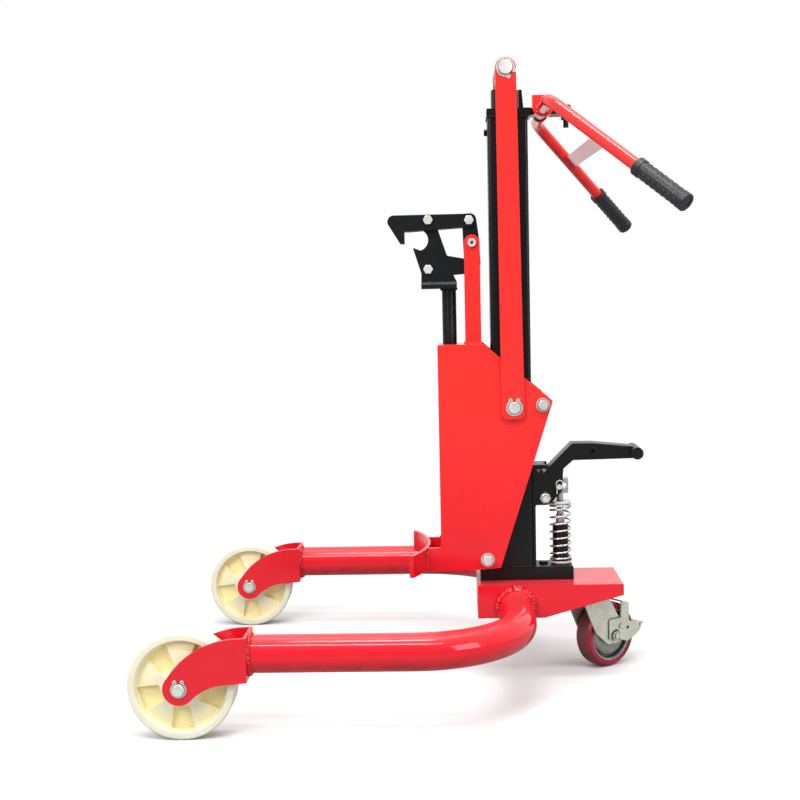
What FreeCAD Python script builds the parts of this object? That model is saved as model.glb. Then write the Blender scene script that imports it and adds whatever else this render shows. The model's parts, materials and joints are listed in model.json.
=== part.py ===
import FreeCAD, Part
import Sketcher
import math
import os
import re

from FreeCAD import Placement, Rotation, Vector

# A foot-pumped hydraulic lifter for steel drums, on two nylon wheels and a braked castor.
# Millimetres. +Z is up, the drum stands at -X between the legs, the operator at +X.
# The origin is on the ground under the middle of the footprint, and every x in this
# file is measured from the mast's centreline, which stands mast_x behind that point.

doc = FreeCAD.newDocument("DrumLifter")

SIZES = {
    "mast_x": (188, "mast centreline, from the middle of the footprint"),
    "mast_depth": (75, "rectangular mast tube, along X"),
    "mast_width": (60, "rectangular mast tube, along Y"),
    "mast_wall": (5, "mast tube wall"),
    "mast_top": (1053, "top of the mast tube, under the head bracket"),
    "bracket_thick": (15, "head bracket plate"),
    "base_top": (179.5, "top of the base channel"),
    "base_half": (75, "half the base channel's width"),
    "base_wall": (6, "base channel plate"),
    "block_top": (205, "top of the pump block"),
    "block_half": (30, "half the pump block's width"),
    "leg_radius": (31.75, "leg tube, outside"),
    "leg_wall": (3.5, "leg tube wall"),
    "leg_height": (138, "centre of the leg tubes"),
    "leg_bend": (185, "bend of the leg tubes"),
    "track_half": (374, "wheel centres from the middle plane"),
    "axle_x": (-568.5, "front axles, from the mast"),
    "wheel_radius": (90, "nylon wheel"),
    "wheel_half": (25, "half the nylon wheel's width"),
    "hub_half": (34.5, "half the nylon wheel's hub length"),
    "axle_radius": (10, "front axles"),
    "fork_inner": (35, "fork cheeks, inside, from the wheel's middle"),
    "cheek": (5, "fork cheek plate"),
    "running_gap": (0.05, "radial clearance of a running fit"),
    "bore_radius": (20, "lift cylinder bore"),
    "cylinder_radius": (24, "lift cylinder, outside"),
    "rod_radius": (12.5, "lift piston rod"),
    "rod_x": (-4, "lift cylinder axis, from the mast"),
    "gland_top": (1107, "top of the cylinder gland"),
    "crosshead_z": (1136, "crosshead pin"),
    "strap_inner": (59, "inside faces of the straps"),
    "strap_thick": (8, "strap plate"),
    "top_pin_radius": (12.5, "crosshead pin"),
    "low_pin_radius": (11, "lower strap pins"),
    "low_pin_x": (3.3, "lower strap pins, from the mast"),
    "low_pin_z": (513, "lower strap pins"),
    "carriage_half": (58, "half the carriage's width"),
    "carriage_wall": (6, "carriage plate"),
    "roller_bolt": (8, "roller bolt radius"),
    "upper_roller": (19.1, "roller behind the mast"),
    "upper_roller_x": (56.8, "its axis, from the mast"),
    "upper_roller_z": (516.6, "its axis"),
    "lower_roller": (13, "roller in front of the mast"),
    "lower_roller_x": (-50.7, "its axis, from the mast"),
    "lower_roller_z": (225.3, "its axis"),
    "saddle_radius": (290, "drum side of the saddle"),
    "saddle_thick": (6, "saddle plate"),
    "saddle_chord": (130, "half the saddle's width"),
    "saddle_low": (208, "bottom of the saddle"),
    "saddle_high": (249, "top of the saddle"),
    "post_radius": (13.5, "gripper post"),
    "post_x": (-114.5, "gripper post, from the mast"),
    "collar_low": (736.8, "bottom of the gripper collar"),
    "collar_high": (749.8, "top of the gripper collar"),
    "jaw_half": (5, "half the fixed jaw's thickness"),
    "link_thick": (6, "gripper link plates"),
    "cheek_inner": (11.8, "inside of the beak's slot and of the struts"),
    "beak_half": (18, "half the beak's thickness"),
    "gripper_bolt": (6, "gripper bolts, radius"),
    "beak_x": (-151.7, "beak pivot, from the mast"),
    "beak_z": (866.3, "beak pivot"),
    "rear_x": (-74.6, "bolt from beak to links, from the mast"),
    "rear_z": (864.4, "bolt from beak to links"),
    "strut_x": (-69.9, "strut pin, from the mast"),
    "strut_z": (822.3, "strut pin"),
    "open_pivot_gap": (0.45, "slack at the bolt from beak to links"),
    "handle_radius": (11, "handle tube"),
    "boss_x": (65.5, "handle boss, from the mast"),
    "boss_z": (1069, "handle boss"),
    "grip_radius": (14.8, "rubber grips"),
    "grip_length": (116, "rubber grips"),
    "pump_x": (91, "pump axis, from the mast"),
    "barrel_radius": (15, "pump barrel"),
    "plunger_radius": (8.5, "pump plunger"),
    "spring_low": (212, "bottom of the return spring"),
    "spring_high": (322, "top of the return spring"),
    "spring_mean": (19, "return spring, mean radius"),
    "spring_wire": (2.5, "return spring wire, radius"),
    "pedal_x": (61, "pedal pivot, from the mast"),
    "pedal_z": (337, "pedal pivot"),
    "pedal_bolt": (6, "pedal pivot bolt, radius"),
    "lever_half": (21, "half the pedal lever's width"),
    "ear_inner": (21.5, "pedal bracket ears, inside"),
    "ear_outer": (28, "pedal bracket ears, outside"),
    "pin_x": (88, "plunger pin, from the mast"),
    "pin_z": (357, "plunger pin"),
    "pin_radius": (5, "plunger pin"),
    "swivel_x": (152.5, "castor swivel, from the mast"),
    "castor_trail": (31, "castor trail"),
    "castor_turn": (39, "how far the castor is swivelled, degrees"),
    "castor_radius": (62.5, "castor wheel"),
    "castor_half": (19, "half the castor tyre's width"),
    "castor_fork_inner": (22, "castor fork, inside, from its middle"),
    "castor_fork_outer": (25.5, "castor fork, outside, from its middle"),
    "castor_axle_radius": (5, "castor axle"),
    "castor_plate_z": (152, "underside of the castor's top plate"),
}

sheet = doc.addObject("Spreadsheet::Sheet", "Sizes")
for line, (alias, (number, note)) in enumerate(SIZES.items(), start=1):
    sheet.set(f"A{line}", note)
    sheet.set(f"B{line}", str(number))
    sheet.setAlias(f"B{line}", alias)
doc.recompute()

ACROSS_TO_RADIUS = 1 / math.sqrt(3)      # a hexagon's corner radius for its width across flats
TURN = {
    "X": Rotation(Vector(0, 1, 0), 90),
    "Y": Rotation(Vector(1, 0, 0), -90),
    "Z": Rotation(),
}
subparts = {}


# ---------------------------------------------------------------- tools of this file

def size(alias):
    """The number in a cell of the sheet."""
    return float(getattr(sheet, alias))


def bound(text):
    """A number or a text of cell names, as an expression on the sheet."""
    return re.sub("[a-z_]+", lambda word: "Sizes." + word[0] if word[0] in SIZES else word[0], str(text))


def place(item, x=0, y=0, z=0, turn="Z"):
    """Put an item at a point, x from the mast, with its own Z along the axis named."""
    rotation = TURN[turn] if isinstance(turn, str) else turn
    item.Placement = Placement(Vector(), rotation)
    item.setExpression("Placement.Base.x", bound(f"mast_x + ({x})"))
    item.setExpression("Placement.Base.y", bound(y))
    item.setExpression("Placement.Base.z", bound(z))
    return item


def keep(label, item):
    """Name a finished sub-part."""
    item.Label = label
    subparts[label] = item
    return item


def primitive(kind, name, **lengths):
    """A Part primitive whose lengths are bound to the sheet."""
    item = doc.addObject("Part::" + kind, name)
    for prop, text in lengths.items():
        item.setExpression(prop, bound(text))
    return item


def box(name, low, high):
    """A box between two corners."""
    spans = [f"({b}) - ({a})" for a, b in zip(low, high)]
    item = primitive("Box", name, Length=spans[0], Width=spans[1], Height=spans[2])
    return place(item, *low)


def rod(name, at, radius, length, turn="Y"):
    """A cylinder from a point along an axis."""
    return place(primitive("Cylinder", name, Radius=radius, Height=length), *at, turn)


def hexagon(name, at, across, length, turn="Y"):
    """A nut or bolt head from a point along an axis, its corners turned off at both ends."""
    corner = across * ACROSS_TO_RADIUS
    prism = primitive("Prism", name + "Prism", Circumradius=corner, Height=length)
    prism.Polygon = 6
    face, outside = 0.475 * across, corner + 0.3
    slope = (outside - face) * ACROSS_TO_RADIUS
    outline = [(0, 0), (face, 0), (outside, slope), (outside, length - slope), (face, length), (0, length)]
    item = doc.addObject("Part::MultiCommon", name)
    item.Shapes = [place(prism, *at, turn), turned(name + "Turned", outline, *at, turn)]
    return item


def fuse(name, *items):
    item = doc.addObject("Part::MultiFuse", name)
    item.Shapes = list(items)
    return item


def group(name, *items):
    """Separate solids that share one node."""
    item = doc.addObject("Part::Compound", name)
    item.Links = list(items)
    return item


def cut(name, base, *tools):
    item = doc.addObject("Part::Cut", name)
    item.Base = base
    item.Tool = tools[0] if len(tools) == 1 else fuse(name + "Tools", *tools)
    return item


def path(points, closed=True):
    """Straight edges through the points; a fourth number of a point rounds its corner."""
    corners = [(Vector(*point[:3]), point[3] if len(point) > 3 else 0) for point in points]
    marks = []
    for index, (here, radius) in enumerate(corners):
        if radius == 0:
            marks.append((here, None, here))
            continue
        before = (corners[index - 1][0] - here).normalize()
        after = (corners[(index + 1) % len(corners)][0] - here).normalize()
        half = before.getAngle(after) / 2
        reach = radius / math.tan(half)
        deep = radius / math.sin(half) - radius
        middle = here + (before + after).normalize() * deep
        marks.append((here + before * reach, middle, here + after * reach))
    edges = []
    count = len(marks)
    for index, (entry, middle, leave) in enumerate(marks):
        if middle is not None:
            edges.append(Part.Arc(entry, middle, leave))
        if index + 1 < count or closed:
            following = marks[(index + 1) % count][0]
            if following.distanceToPoint(leave) > 1e-6:
                edges.append(Part.LineSegment(leave, following))
    return edges


def flat(points):
    """Sketch points (a, b) or (a, b, corner radius), as path takes them."""
    return [(point[0], point[1], 0, *point[2:]) for point in points]


def body(name, x=0, y=0, z=0, turn="Z"):
    return place(doc.addObject("PartDesign::Body", name), x, y, z, turn)


def sketch(owner, role, outline=(), circles=(), lift=0, closed=True):
    """A sketch on an origin plane of a body, lifted along the plane's normal."""
    plane = next(f for f in owner.Origin.OriginFeatures if f.Role == role)
    drawn = owner.newObject("Sketcher::SketchObject", owner.Name + "Sketch")
    drawn.AttachmentSupport = [(plane, "")]
    drawn.MapMode = "FlatFace"
    drawn.AttachmentOffset = Placement(Vector(0, 0, lift), Rotation())
    if outline:
        drawn.addGeometry(path(flat(outline), closed), False)
    for across, up, radius in circles:
        ring = Part.Circle(Vector(across, up, 0), Vector(0, 0, 1), 1)
        index = drawn.addGeometry(ring, False)
        number = drawn.addConstraint(Sketcher.Constraint("Radius", index, 1.0))
        drawn.setExpression(f"Constraints[{number}]", bound(radius))
    return drawn


def pad(owner, drawn, length):
    """Pad a sketch evenly to both sides of its plane."""
    item = owner.newObject("PartDesign::Pad", owner.Name + "Pad")
    item.Profile = drawn
    item.SideType = "Symmetric"
    item.setExpression("Length", bound(length))
    drawn.Visibility = False
    return item


def pocket(owner, drawn, length):
    """Cut a sketch evenly to both sides of its plane."""
    item = owner.newObject("PartDesign::Pocket", owner.Name + "Pocket")
    item.Profile = drawn
    item.SideType = "Symmetric"
    item.setExpression("Length", bound(length))
    return item


def plate(name, outline, thick, y=0, circles=()):
    """A flat plate in an XZ plane, even about y, with round holes."""
    item = body(name, 0, y, 0)
    pad(item, sketch(item, "XZ_Plane", outline, circles), thick)
    return item


def turned(name, outline, x=0, y=0, z=0, turn="Z"):
    """A body of revolution from (radius, height) points about its own Z axis."""
    item = body(name, x, y, z, turn)
    drawn = sketch(item, "XZ_Plane", outline)
    spun = item.newObject("PartDesign::Revolution", name + "Turn")
    spun.Profile = drawn
    spun.ReferenceAxis = (drawn, ["V_Axis"])
    spun.Angle = 360
    return item


def swept(points, radius, inner=0):
    """A round bar, or a tube, along lines and tangent arcs in the mast's own frame."""
    spine = Part.Wire([edge.toShape() for edge in path(points, closed=False)])
    start = spine.Edges[0].valueAt(spine.Edges[0].FirstParameter)
    heading = spine.Edges[0].tangentAt(spine.Edges[0].FirstParameter)

    def sweep(measure):
        ring = Part.Wire(Part.makeCircle(measure, start, heading))
        return spine.makePipeShell([ring], True, True)

    solid = sweep(radius)
    return solid.cut(sweep(inner)) if inner else solid


def feature(name, shape, x=0, y=0, z=0):
    """A Part::Feature, set in the row's frame after its shape is made."""
    item = doc.addObject("Part::Feature", name)
    item.Shape = shape
    return place(item, x, y, z)


# ---------------------------------------------------------------- frame and legs

def make_base():
    """Folded base channel, open below, its sides tapering up towards the castor."""
    front, rear, kink = -71, 202, 54
    side_low, tail_low = 117, 158.6
    top = size("base_top")
    wall = size("base_wall")
    item = body("BaseChannel")
    side = [(front, side_low), (front, top, 2), (rear, top, 2), (rear, tail_low), (kink, side_low)]
    pad(item, sketch(item, "XZ_Plane", side), "2 * base_half")
    inside = [(front + wall, 0), (front + wall, top - wall), (rear - wall, top - wall), (rear - wall, 0)]
    pocket(item, sketch(item, "XZ_Plane", inside), "2 * (base_half - base_wall)")
    shelf = box("CastorShelf", (100, "-(base_half - base_wall)", "castor_plate_z + 6"),
                (rear - wall, "base_half - base_wall", "castor_plate_z + 12"))
    whole = fuse("BaseWeldment", item, shelf)
    holes = [rod(f"ShelfHole{index}", (f"swivel_x + {dx}", dy, "castor_plate_z"), 4.3, 20, "Z")
             for index, (dx, dy) in enumerate(CASTOR_BOLTS)]
    holes.append(rod("KingpinClearance", ("swivel_x", 0, "castor_plate_z"), 13, 20, "Z"))
    keep("base_channel", cut("Base", whole, *holes))


CASTOR_BOLTS = [(dx, dy) for dx in (-34, 34) for dy in (-28, 28)]


def make_leg(label, side):
    """A bent leg tube from the base channel out and forward to its wheel fork."""
    front = -455
    height = size("leg_height")
    reach = side * size("track_half")
    route = [(front, reach, height), (0, reach, height, size("leg_bend")),
             (0, side * size("base_half"), height)]
    outer = size("leg_radius")
    keep(label, feature(label, swept(route, outer, outer - size("leg_wall"))))


def make_fork(label, side):
    """Two curved cheeks and the end plate that carry a nylon wheel."""
    axle = size("axle_x")
    height = size("wheel_radius")
    boss = 27
    diagonal = boss * math.sqrt(0.5)
    rear, end_top, end_low = -456, 174, 100
    item = body(label, 0, f"{side} * track_half", 0)
    reach = "2 * (fork_inner + cheek)"
    arm = sketch(item, "XZ_Plane")
    top_start = Vector(axle - diagonal, height + diagonal, 0)
    boss_side = Vector(axle - diagonal, height - diagonal, 0)
    low_start = Vector(axle + diagonal, height - diagonal, 0)
    top_end = Vector(-478, end_top - 1, 0)
    low_end = Vector(-486, end_low - 3, 0)
    arm.addGeometry([
        Part.Arc(top_start, boss_side, low_start),
        Part.Arc(low_start, Vector(-524, 89, 0), low_end),
        Part.LineSegment(low_end, Vector(rear, end_low, 0)),
        Part.LineSegment(Vector(rear, end_low, 0), Vector(rear, end_top, 0)),
        Part.LineSegment(Vector(rear, end_top, 0), top_end),
        Part.Arc(top_end, Vector(-545, 151, 0), top_start),
    ], False)
    pad(item, arm, reach)
    gap = [(-700, 0), (-700, 300), (rear - 5, 300), (rear - 5, 0)]
    pocket(item, sketch(item, "XZ_Plane", gap), "2 * fork_inner")
    hole = sketch(item, "XZ_Plane", circles=[(axle, height, "axle_radius")])
    pocket(item, hole, "4 * fork_inner")
    keep(label, item)


def grooved_pin(name, radius, low, high, grooves, at):
    """A plain pin along Y with a groove for a retaining ring from each height given."""
    deep, wide, edge = 1, 1.6, 1
    outline = [(0, low), (radius - edge, low), (radius, low + edge)]
    for start in grooves:
        outline += [(radius, start), (radius - deep, start),
                    (radius - deep, start + wide), (radius, start + wide)]
    outline += [(radius, high - edge), (radius - edge, high), (0, high)]
    return turned(name, outline, *at, "Y")


def make_front_axles():
    """Two plain axles with a groove outside each fork cheek for a retaining ring."""
    half = 46
    cheek_face = size("fork_inner") + size("cheek")
    grooves = (-cheek_face - 1.65, cheek_face + 0.05)
    axles = [grooved_pin(f"Axle{side}", size("axle_radius"), -half, half, grooves,
                         ("axle_x", f"{way} * track_half", "wheel_radius"))
             for side, way in (("Left", -1), ("Right", 1))]
    keep("front_axles", group("FrontAxles", *axles))


def ring_shape(bore, outer, thick, opening):
    """A retaining ring in the XZ plane: an open ring with two drilled lugs, open to +Z."""
    lug, hole = 3.4, 1.1
    ring = Part.makeCylinder(outer, thick, Vector(), Vector(0, 1, 0))
    for side in (-1, 1):
        angle = side * (opening / 2 + 14)
        centre = Vector(math.sin(math.radians(angle)), 0, math.cos(math.radians(angle))) * (outer + 0.8)
        ring = ring.fuse(Part.makeCylinder(lug, thick, centre, Vector(0, 1, 0)))
        ring = ring.cut(Part.makeCylinder(hole, thick, centre, Vector(0, 1, 0)))
    ring = ring.cut(Part.makeCylinder(bore, thick, Vector(), Vector(0, 1, 0)))
    reach = outer * 2
    half = math.radians(opening / 2)
    wedge = Part.makePolygon([Vector(), Vector(-reach * math.sin(half), 0, reach * math.cos(half)),
                              Vector(reach * math.sin(half), 0, reach * math.cos(half)), Vector()])
    return ring.cut(Part.Face(wedge).extrude(Vector(0, thick, 0)))


def ring_at(at, bore, outer, turn):
    """A retaining ring from a point in the mast's frame, its opening turned about Y."""
    ring = ring_shape(bore, outer, 1.5, 24)
    ring.rotate(Vector(), Vector(0, 1, 0), turn)
    ring.translate(Vector(*at))
    return ring


def make_axle_rings():
    """Retaining rings on both ends of both front axles."""
    face = size("fork_inner") + size("cheek") + 0.1
    bore = size("axle_radius") - 0.95
    x, z = size("axle_x"), size("wheel_radius")
    solids = [ring_at((x, side * size("track_half") + low, z), bore, 13.5, turn)
              for side in (-1, 1) for low, turn in ((-face - 1.5, 0), (face, -100))]
    keep("axle_rings", feature("AxleRings", Part.makeCompound(solids)))


def make_nylon_wheel(label, side):
    """A moulded nylon wheel with five recesses in each face that widen towards the rim."""
    radius = size("wheel_radius")
    half = size("wheel_half")
    hub = size("hub_half")
    seat = 21                       # radius of the bearing seats
    lip = 12                        # depth of the bearing seats
    outline = [(seat, hub), (26, hub, 1), (28, 22.5, 3), (74, 12, 4), (77.6, half, 1.5), (radius, half, 4),
               (radius, -half, 4), (77.6, -half, 1.5), (74, -12, 4), (28, -22.5, 3), (26, -hub, 1),
               (seat, -hub), (seat, lip - hub), (13, lip - hub), (13, hub - lip), (seat, hub - lip)]
    item = turned(label, outline, "axle_x", f"{side} * track_half", "wheel_radius", "Y")
    floor, deep = 6, 12
    inner, outer, narrow, wide = 34, 73, 14, 20
    recess = [(-narrow, inner, 3), (narrow, inner, 3), (wide, outer, 3), (-wide, outer, 3)]
    spokes = 5
    for face in (-1, 1):
        drawn = sketch(item, "XY_Plane", recess, lift=face * (floor + deep))
        hollow = item.newObject("PartDesign::Pocket", label + "Recess")
        hollow.Profile = drawn
        hollow.SideType = "Symmetric"
        hollow.Length = 2 * deep
        array = item.newObject("PartDesign::PolarPattern", label + "Recesses")
        array.Originals = [hollow]
        array.Axis = (drawn, ["N_Axis"])
        array.Angle = 360
        array.Occurrences = spokes
        item.Tip = array
        doc.recompute()
    keep(label, item)


def make_wheel_bearings(label, side):
    """Two sealed ball bearings pressed into a nylon wheel's hub."""
    bore = size("axle_radius") + size("running_gap")
    outer, width = 21, 12
    pair = []
    for end in (-1, 1):
        middle = end * (size("hub_half") - width / 2)
        outline = [(bore, -6, 0.6), (13, -6), (13.6, -5.2), (18.2, -5.2), (18.8, -6), (outer, -6, 0.8),
                   (outer, 6, 0.8), (18.8, 6), (18.2, 5.2), (13.6, 5.2), (13, 6), (bore, 6, 0.6)]
        name = label + ("Outer" if end < 0 else "Inner")
        pair.append(turned(name, outline, "axle_x", f"{side} * track_half + {middle}",
                           "wheel_radius", "Y"))
    keep(label, group(label, *pair))


# ---------------------------------------------------------------- mast, cylinder, pump

def make_mast():
    """Rectangular mast tube, standing on the pump block."""
    half_x, half_y = size("mast_depth") / 2, size("mast_width") / 2
    wall = size("mast_wall")
    item = body("MastTube", 0, 0, "(block_top + mast_top) / 2")
    outline = [(-half_x, -half_y, 6), (half_x, -half_y, 6), (half_x, half_y, 6), (-half_x, half_y, 6)]
    bore_x, bore_y = half_x - wall, half_y - wall
    bore = [(-bore_x, -bore_y, 2), (bore_x, -bore_y, 2), (bore_x, bore_y, 2), (-bore_x, bore_y, 2)]
    drawn = sketch(item, "XY_Plane", outline)
    drawn.addGeometry(path(flat(bore)), False)
    pad(item, drawn, "mast_top - block_top")
    keep("mast_tube", item)


def make_head_bracket():
    """Mast cap plate with a fin and a tongue behind it, drilled for the cylinder and the tongue bolt."""
    low = "mast_top"
    high = "mast_top + bracket_thick"
    cap = box("CapPlate", ("-mast_depth / 2 - 1", -31, low), (44, 31, high))
    tongue = box("Tongue", (40, -22, "boss_z - 13"), (119, 22, "boss_z - 1"))
    deck = size("mast_top") + size("bracket_thick")
    fin = plate("CapFin", [(22, deck), (22, deck + 37), (28.5, deck + 37, 2), (31.5, deck)], 8)
    hole = rod("CapHole", ("rod_x", 0, low), "cylinder_radius + 0.1", "bracket_thick", "Z")
    bolt_hole = rod("TongueHole", (110.5, 0, low), 5.1, "bracket_thick", "Z")
    keep("head_bracket", cut("HeadBracket", fuse("HeadPlates", cap, tongue, fin), hole, bolt_hole))


def make_bracket_bolts():
    """The tongue's vertical bolt with its nut, and the screw in the mast's front face."""
    x = 110.5
    tongue_bolt = fuse("TongueBolt", rod("TongueShank", (x, 0, "boss_z - 36"), 5, 36, "Z"),
                       hexagon("TongueHead", (x, 0, "boss_z - 1"), 16, 7, "Z"),
                       hexagon("TongueNut", (x, 0, "boss_z - 22"), 16, 9, "Z"))
    front = "-mast_depth / 2"
    screw = rod("MastScrewHead", (f"{front} - 6", 0, 1027), 6, 6, "X")
    keep("bracket_bolts", group("BracketBolts", tongue_bolt, screw))


def make_lift_cylinder():
    """Cylinder tube inside the mast, its gland, and the piston with its rod."""
    foot = size("block_top")
    top = size("mast_top") + size("bracket_thick")
    outer, bore = size("cylinder_radius"), size("bore_radius")
    gap = size("running_gap")
    tube = [(0, foot), (outer, foot), (outer, top), (bore, top), (bore, foot + 12), (0, foot + 12)]
    keep("cylinder_tube", turned("CylinderTube", tube, "rod_x"))
    rod_hole = size("rod_radius") + gap
    crown = size("gland_top")
    gland = [(rod_hole, top - 28), (bore, top - 28), (bore, top), (25.5, top, 1), (25.5, crown, 5),
             (17, crown), (16, crown - 3), (rod_hole, crown - 3)]
    keep("cylinder_gland", turned("CylinderGland", gland, "rod_x"))
    piston_low, piston_high = foot + 22, foot + 52
    stud = size("crosshead_z") - 14
    shoulder = size("crosshead_z") - 23
    rod_radius = size("rod_radius")
    seal = bore - 2.5
    head = bore - gap
    piston = [(0, piston_low), (head, piston_low, 1), (head, piston_low + 12), (seal, piston_low + 12),
              (seal, piston_low + 18), (head, piston_low + 18), (head, piston_high, 1),
              (rod_radius, piston_high), (rod_radius, shoulder), (8, shoulder), (8, stud), (0, stud)]
    keep("piston_rod", turned("PistonRod", piston, "rod_x"))


def make_pump():
    """Pump block on the base, barrel, plunger with its slotted head, spring and its seats."""
    block = body("PumpBlock")
    low, high = size("base_top"), size("block_top")
    outline = [(-64, low), (-64, high, 2), (113, high, 2), (113, low)]
    pad(block, sketch(block, "XZ_Plane", outline), "2 * block_half")
    plug = hexagon("FillerPlug", (58, 0, "block_top"), 15, 5, "Z")
    well = rod("BarrelWell", ("pump_x", 0, "block_top - 10"), 13, 10, "Z")
    keep("pump_block", fuse("PumpBody", cut("PumpCasting", block, well), plug))

    gap = size("running_gap")
    barrel_radius, bore = size("barrel_radius"), size("plunger_radius") + gap
    top = 283
    barrel = [(0, high - 10), (13, high - 10), (13, high), (barrel_radius, high), (barrel_radius, top, 1.5),
              (bore, top), (bore, high + 2), (0, high + 2)]
    keep("pump_barrel", turned("PumpBarrel", barrel, "pump_x"))

    spring_low, spring_high = size("spring_low"), size("spring_high")
    seat = [(barrel_radius, high), (18, high, 1), (18, spring_low - 3), (22, spring_low - 3),
            (22, spring_low), (barrel_radius, spring_low)]
    keep("spring_seat", turned("SpringSeat", seat, "pump_x"))

    cap_top = spring_high + 5
    rod_radius = 6.5
    cap = [(rod_radius, spring_high), (21, spring_high, 1), (21, cap_top, 1), (rod_radius, cap_top)]
    keep("spring_cap", turned("SpringCap", cap, "pump_x"))

    neck, head_low = 300, 343
    radius = size("plunger_radius")
    stem = [(0, 232), (radius, 232, 1), (radius, neck), (rod_radius, neck + 3), (rod_radius, head_low),
            (0, head_low)]
    stem_body = turned("PlungerStem", stem, "pump_x")
    head = box("PlungerHead", ("pump_x - 15", -12, head_low), ("pump_x + 15", 12, 371))
    slot_half = 7.5
    slot_rise = "pin_radius + 0.55"
    slot = [box("SlotMiddle", (f"pump_x - {slot_half}", -12, f"pin_z - ({slot_rise})"),
                (f"pump_x + {slot_half}", 12, f"pin_z + ({slot_rise})"))]
    slot += [rod(f"SlotEnd{index}", (f"pump_x + {end}", -12, "pin_z"), slot_rise, 24)
             for index, end in enumerate((-slot_half, slot_half))]
    keep("pump_plunger", fuse("PumpPlunger", stem_body, cut("SlottedHead", head, *slot)))

    keep("return_spring", feature("ReturnSpring", spring_shape(spring_low, spring_high), "pump_x"))


def spring_shape(low, high):
    """A helical compression spring with closed ends, standing between two heights."""
    wire, mean = size("spring_wire"), size("spring_mean")
    turns = 8
    first, last = low + wire + 0.1, high - wire - 0.1
    pitch = (last - first) / turns
    helix = Part.makeHelix(pitch, last - first, mean)
    helix.translate(Vector(0, 0, first))
    heading = Vector(0, 1, pitch / (2 * math.pi * mean))
    ring = Part.Wire(Part.makeCircle(wire, Vector(mean, 0, first), heading))
    return Part.Wire(helix.Edges).makePipeShell([ring], True, True)


def make_pedal_bracket():
    """Folded bracket on the mast's rear face with two ears for the pedal's pivot."""
    face = size("mast_depth") / 2
    back = face + 5
    low, top = size("block_top"), 400
    x, z = size("pedal_x"), size("pedal_z")
    item = body("PedalBracket")
    ear = [(face, low), (back, low), (back, z - 14, 4), (x + 14, z - 14, 13), (x + 14, z + 18, 12),
           (68, 372, 10), (68, top, 2), (face, top)]
    pad(item, sketch(item, "XZ_Plane", ear), "2 * ear_outer")
    between = [(back, 0), (back, top - 8), (120, top - 8), (120, 0)]
    pocket(item, sketch(item, "XZ_Plane", between), "2 * ear_inner")
    lever_room = [(62, top - 12), (62, top + 10), (120, top + 10), (120, top - 12)]
    pocket(item, sketch(item, "XZ_Plane", lever_room), "2 * ear_inner")
    window = [(46, top - 16), (46, top - 8), (80, top - 8), (80, top - 16)]
    pocket(item, sketch(item, "XZ_Plane", window), "4 * ear_outer")
    pocket(item, sketch(item, "XZ_Plane", circles=[(x, z, "pedal_bolt")]), "4 * ear_outer")
    stop_hole = rod("StopHole", (50.5, 0, top - 8), 4, 8, "Z")
    keep("pedal_bracket", cut("PedalBracketDrilled", item, stop_hole))


def make_pedal_bolts():
    """The pedal's pivot bolt with its nut, and the set screw and locknut that stop the lever."""
    shank = rod("PivotShank", ("pedal_x", "-ear_outer - 16", "pedal_z"), "pedal_bolt", "2 * ear_outer + 24")
    washer = rod("PivotWasher", ("pedal_x", "-ear_outer - 2", "pedal_z"), 10, 2)
    nut = hexagon("PivotNut", ("pedal_x", "-ear_outer - 12", "pedal_z"), 17, 10)
    head = hexagon("PivotHead", ("pedal_x", "ear_outer", "pedal_z"), 17, 8)
    pivot = fuse("PedalPivot", shank, washer, nut, head)
    stop = fuse("StopScrew", rod("StopShank", (50.5, 0, 380), 4, 20, "Z"),
                hexagon("StopNut", (50.5, 0, 382), 13, 10, "Z"))
    keep("pedal_bolts", group("PedalBolts", pivot, stop))


def make_pedal():
    """Cranked channel lever with its foot bar, and the pin that drives the plunger."""
    x, z = size("pedal_x"), size("pedal_z")
    pin_x, pin_z = size("pin_x"), size("pin_z")
    foot_x, foot_z = 234, 420
    half = size("lever_half")
    outline = [(x - 11, z - 11, 10.5), (x + 12, z - 11, 10), (pin_x + 5.5, pin_z - 9, 5), (96.5, 391, 4),
               (115, 407, 4), (foot_x - 3, 409), (foot_x - 3, 431), (152, 439, 8), (113, 439, 6),
               (66, 392, 4), (52, 372, 8)]
    item = body("PedalLever")
    pad(item, sketch(item, "XZ_Plane", outline), f"2 * {half}")
    web = 5
    inside = [(x - 20, z - 30), (x - 20, 366), (66 + web, 392 - web), (113 + 2, 439 - web), (152, 439 - web),
              (foot_x - 20, 424), (foot_x - 20, 380), (foot_x - 20, z - 30)]
    pocket(item, sketch(item, "XZ_Plane", inside), f"2 * ({half} - 6)")
    holes = [(x, z, "pedal_bolt + running_gap"), (pin_x, pin_z, "pin_radius")]
    pocket(item, sketch(item, "XZ_Plane", circles=holes), "4 * lever_half")
    foot = rod("FootBar", (foot_x, -40, foot_z), 11.5, 80)
    spacer_x, spacer_z, spacer_half = 152, 424, half + 0.8
    spacer = rod("PedalSpacer", (spacer_x, -spacer_half, spacer_z), 6.5, 2 * spacer_half)
    spacer_hole = rod("PedalSpacerHole", (spacer_x, -spacer_half, spacer_z), 3.5, 2 * spacer_half)
    keep("pedal_lever", cut("Pedal", fuse("PedalWeldment", item, foot, spacer), spacer_hole))

    pin = rod("PinShank", ("pin_x", "-lever_half - 8", "pin_z"), "pin_radius", "2 * lever_half + 11")
    head = rod("PinHead", ("pin_x", "lever_half + 3", "pin_z"), 7, 3)
    clip_y = "-lever_half - 5"
    loop = swept([(pin_x - 4, 0, pin_z - 13), (pin_x - 6, 0, pin_z + 9, 5), (pin_x + 4, 0, pin_z + 15, 5),
                  (pin_x + 6, 0, pin_z + 8)], 1)
    clip = feature("PinClip", loop, 0, clip_y, 0)
    keep("plunger_pin", fuse("PlungerPin", pin, head, clip))


# ---------------------------------------------------------------- lifting carriage

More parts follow.
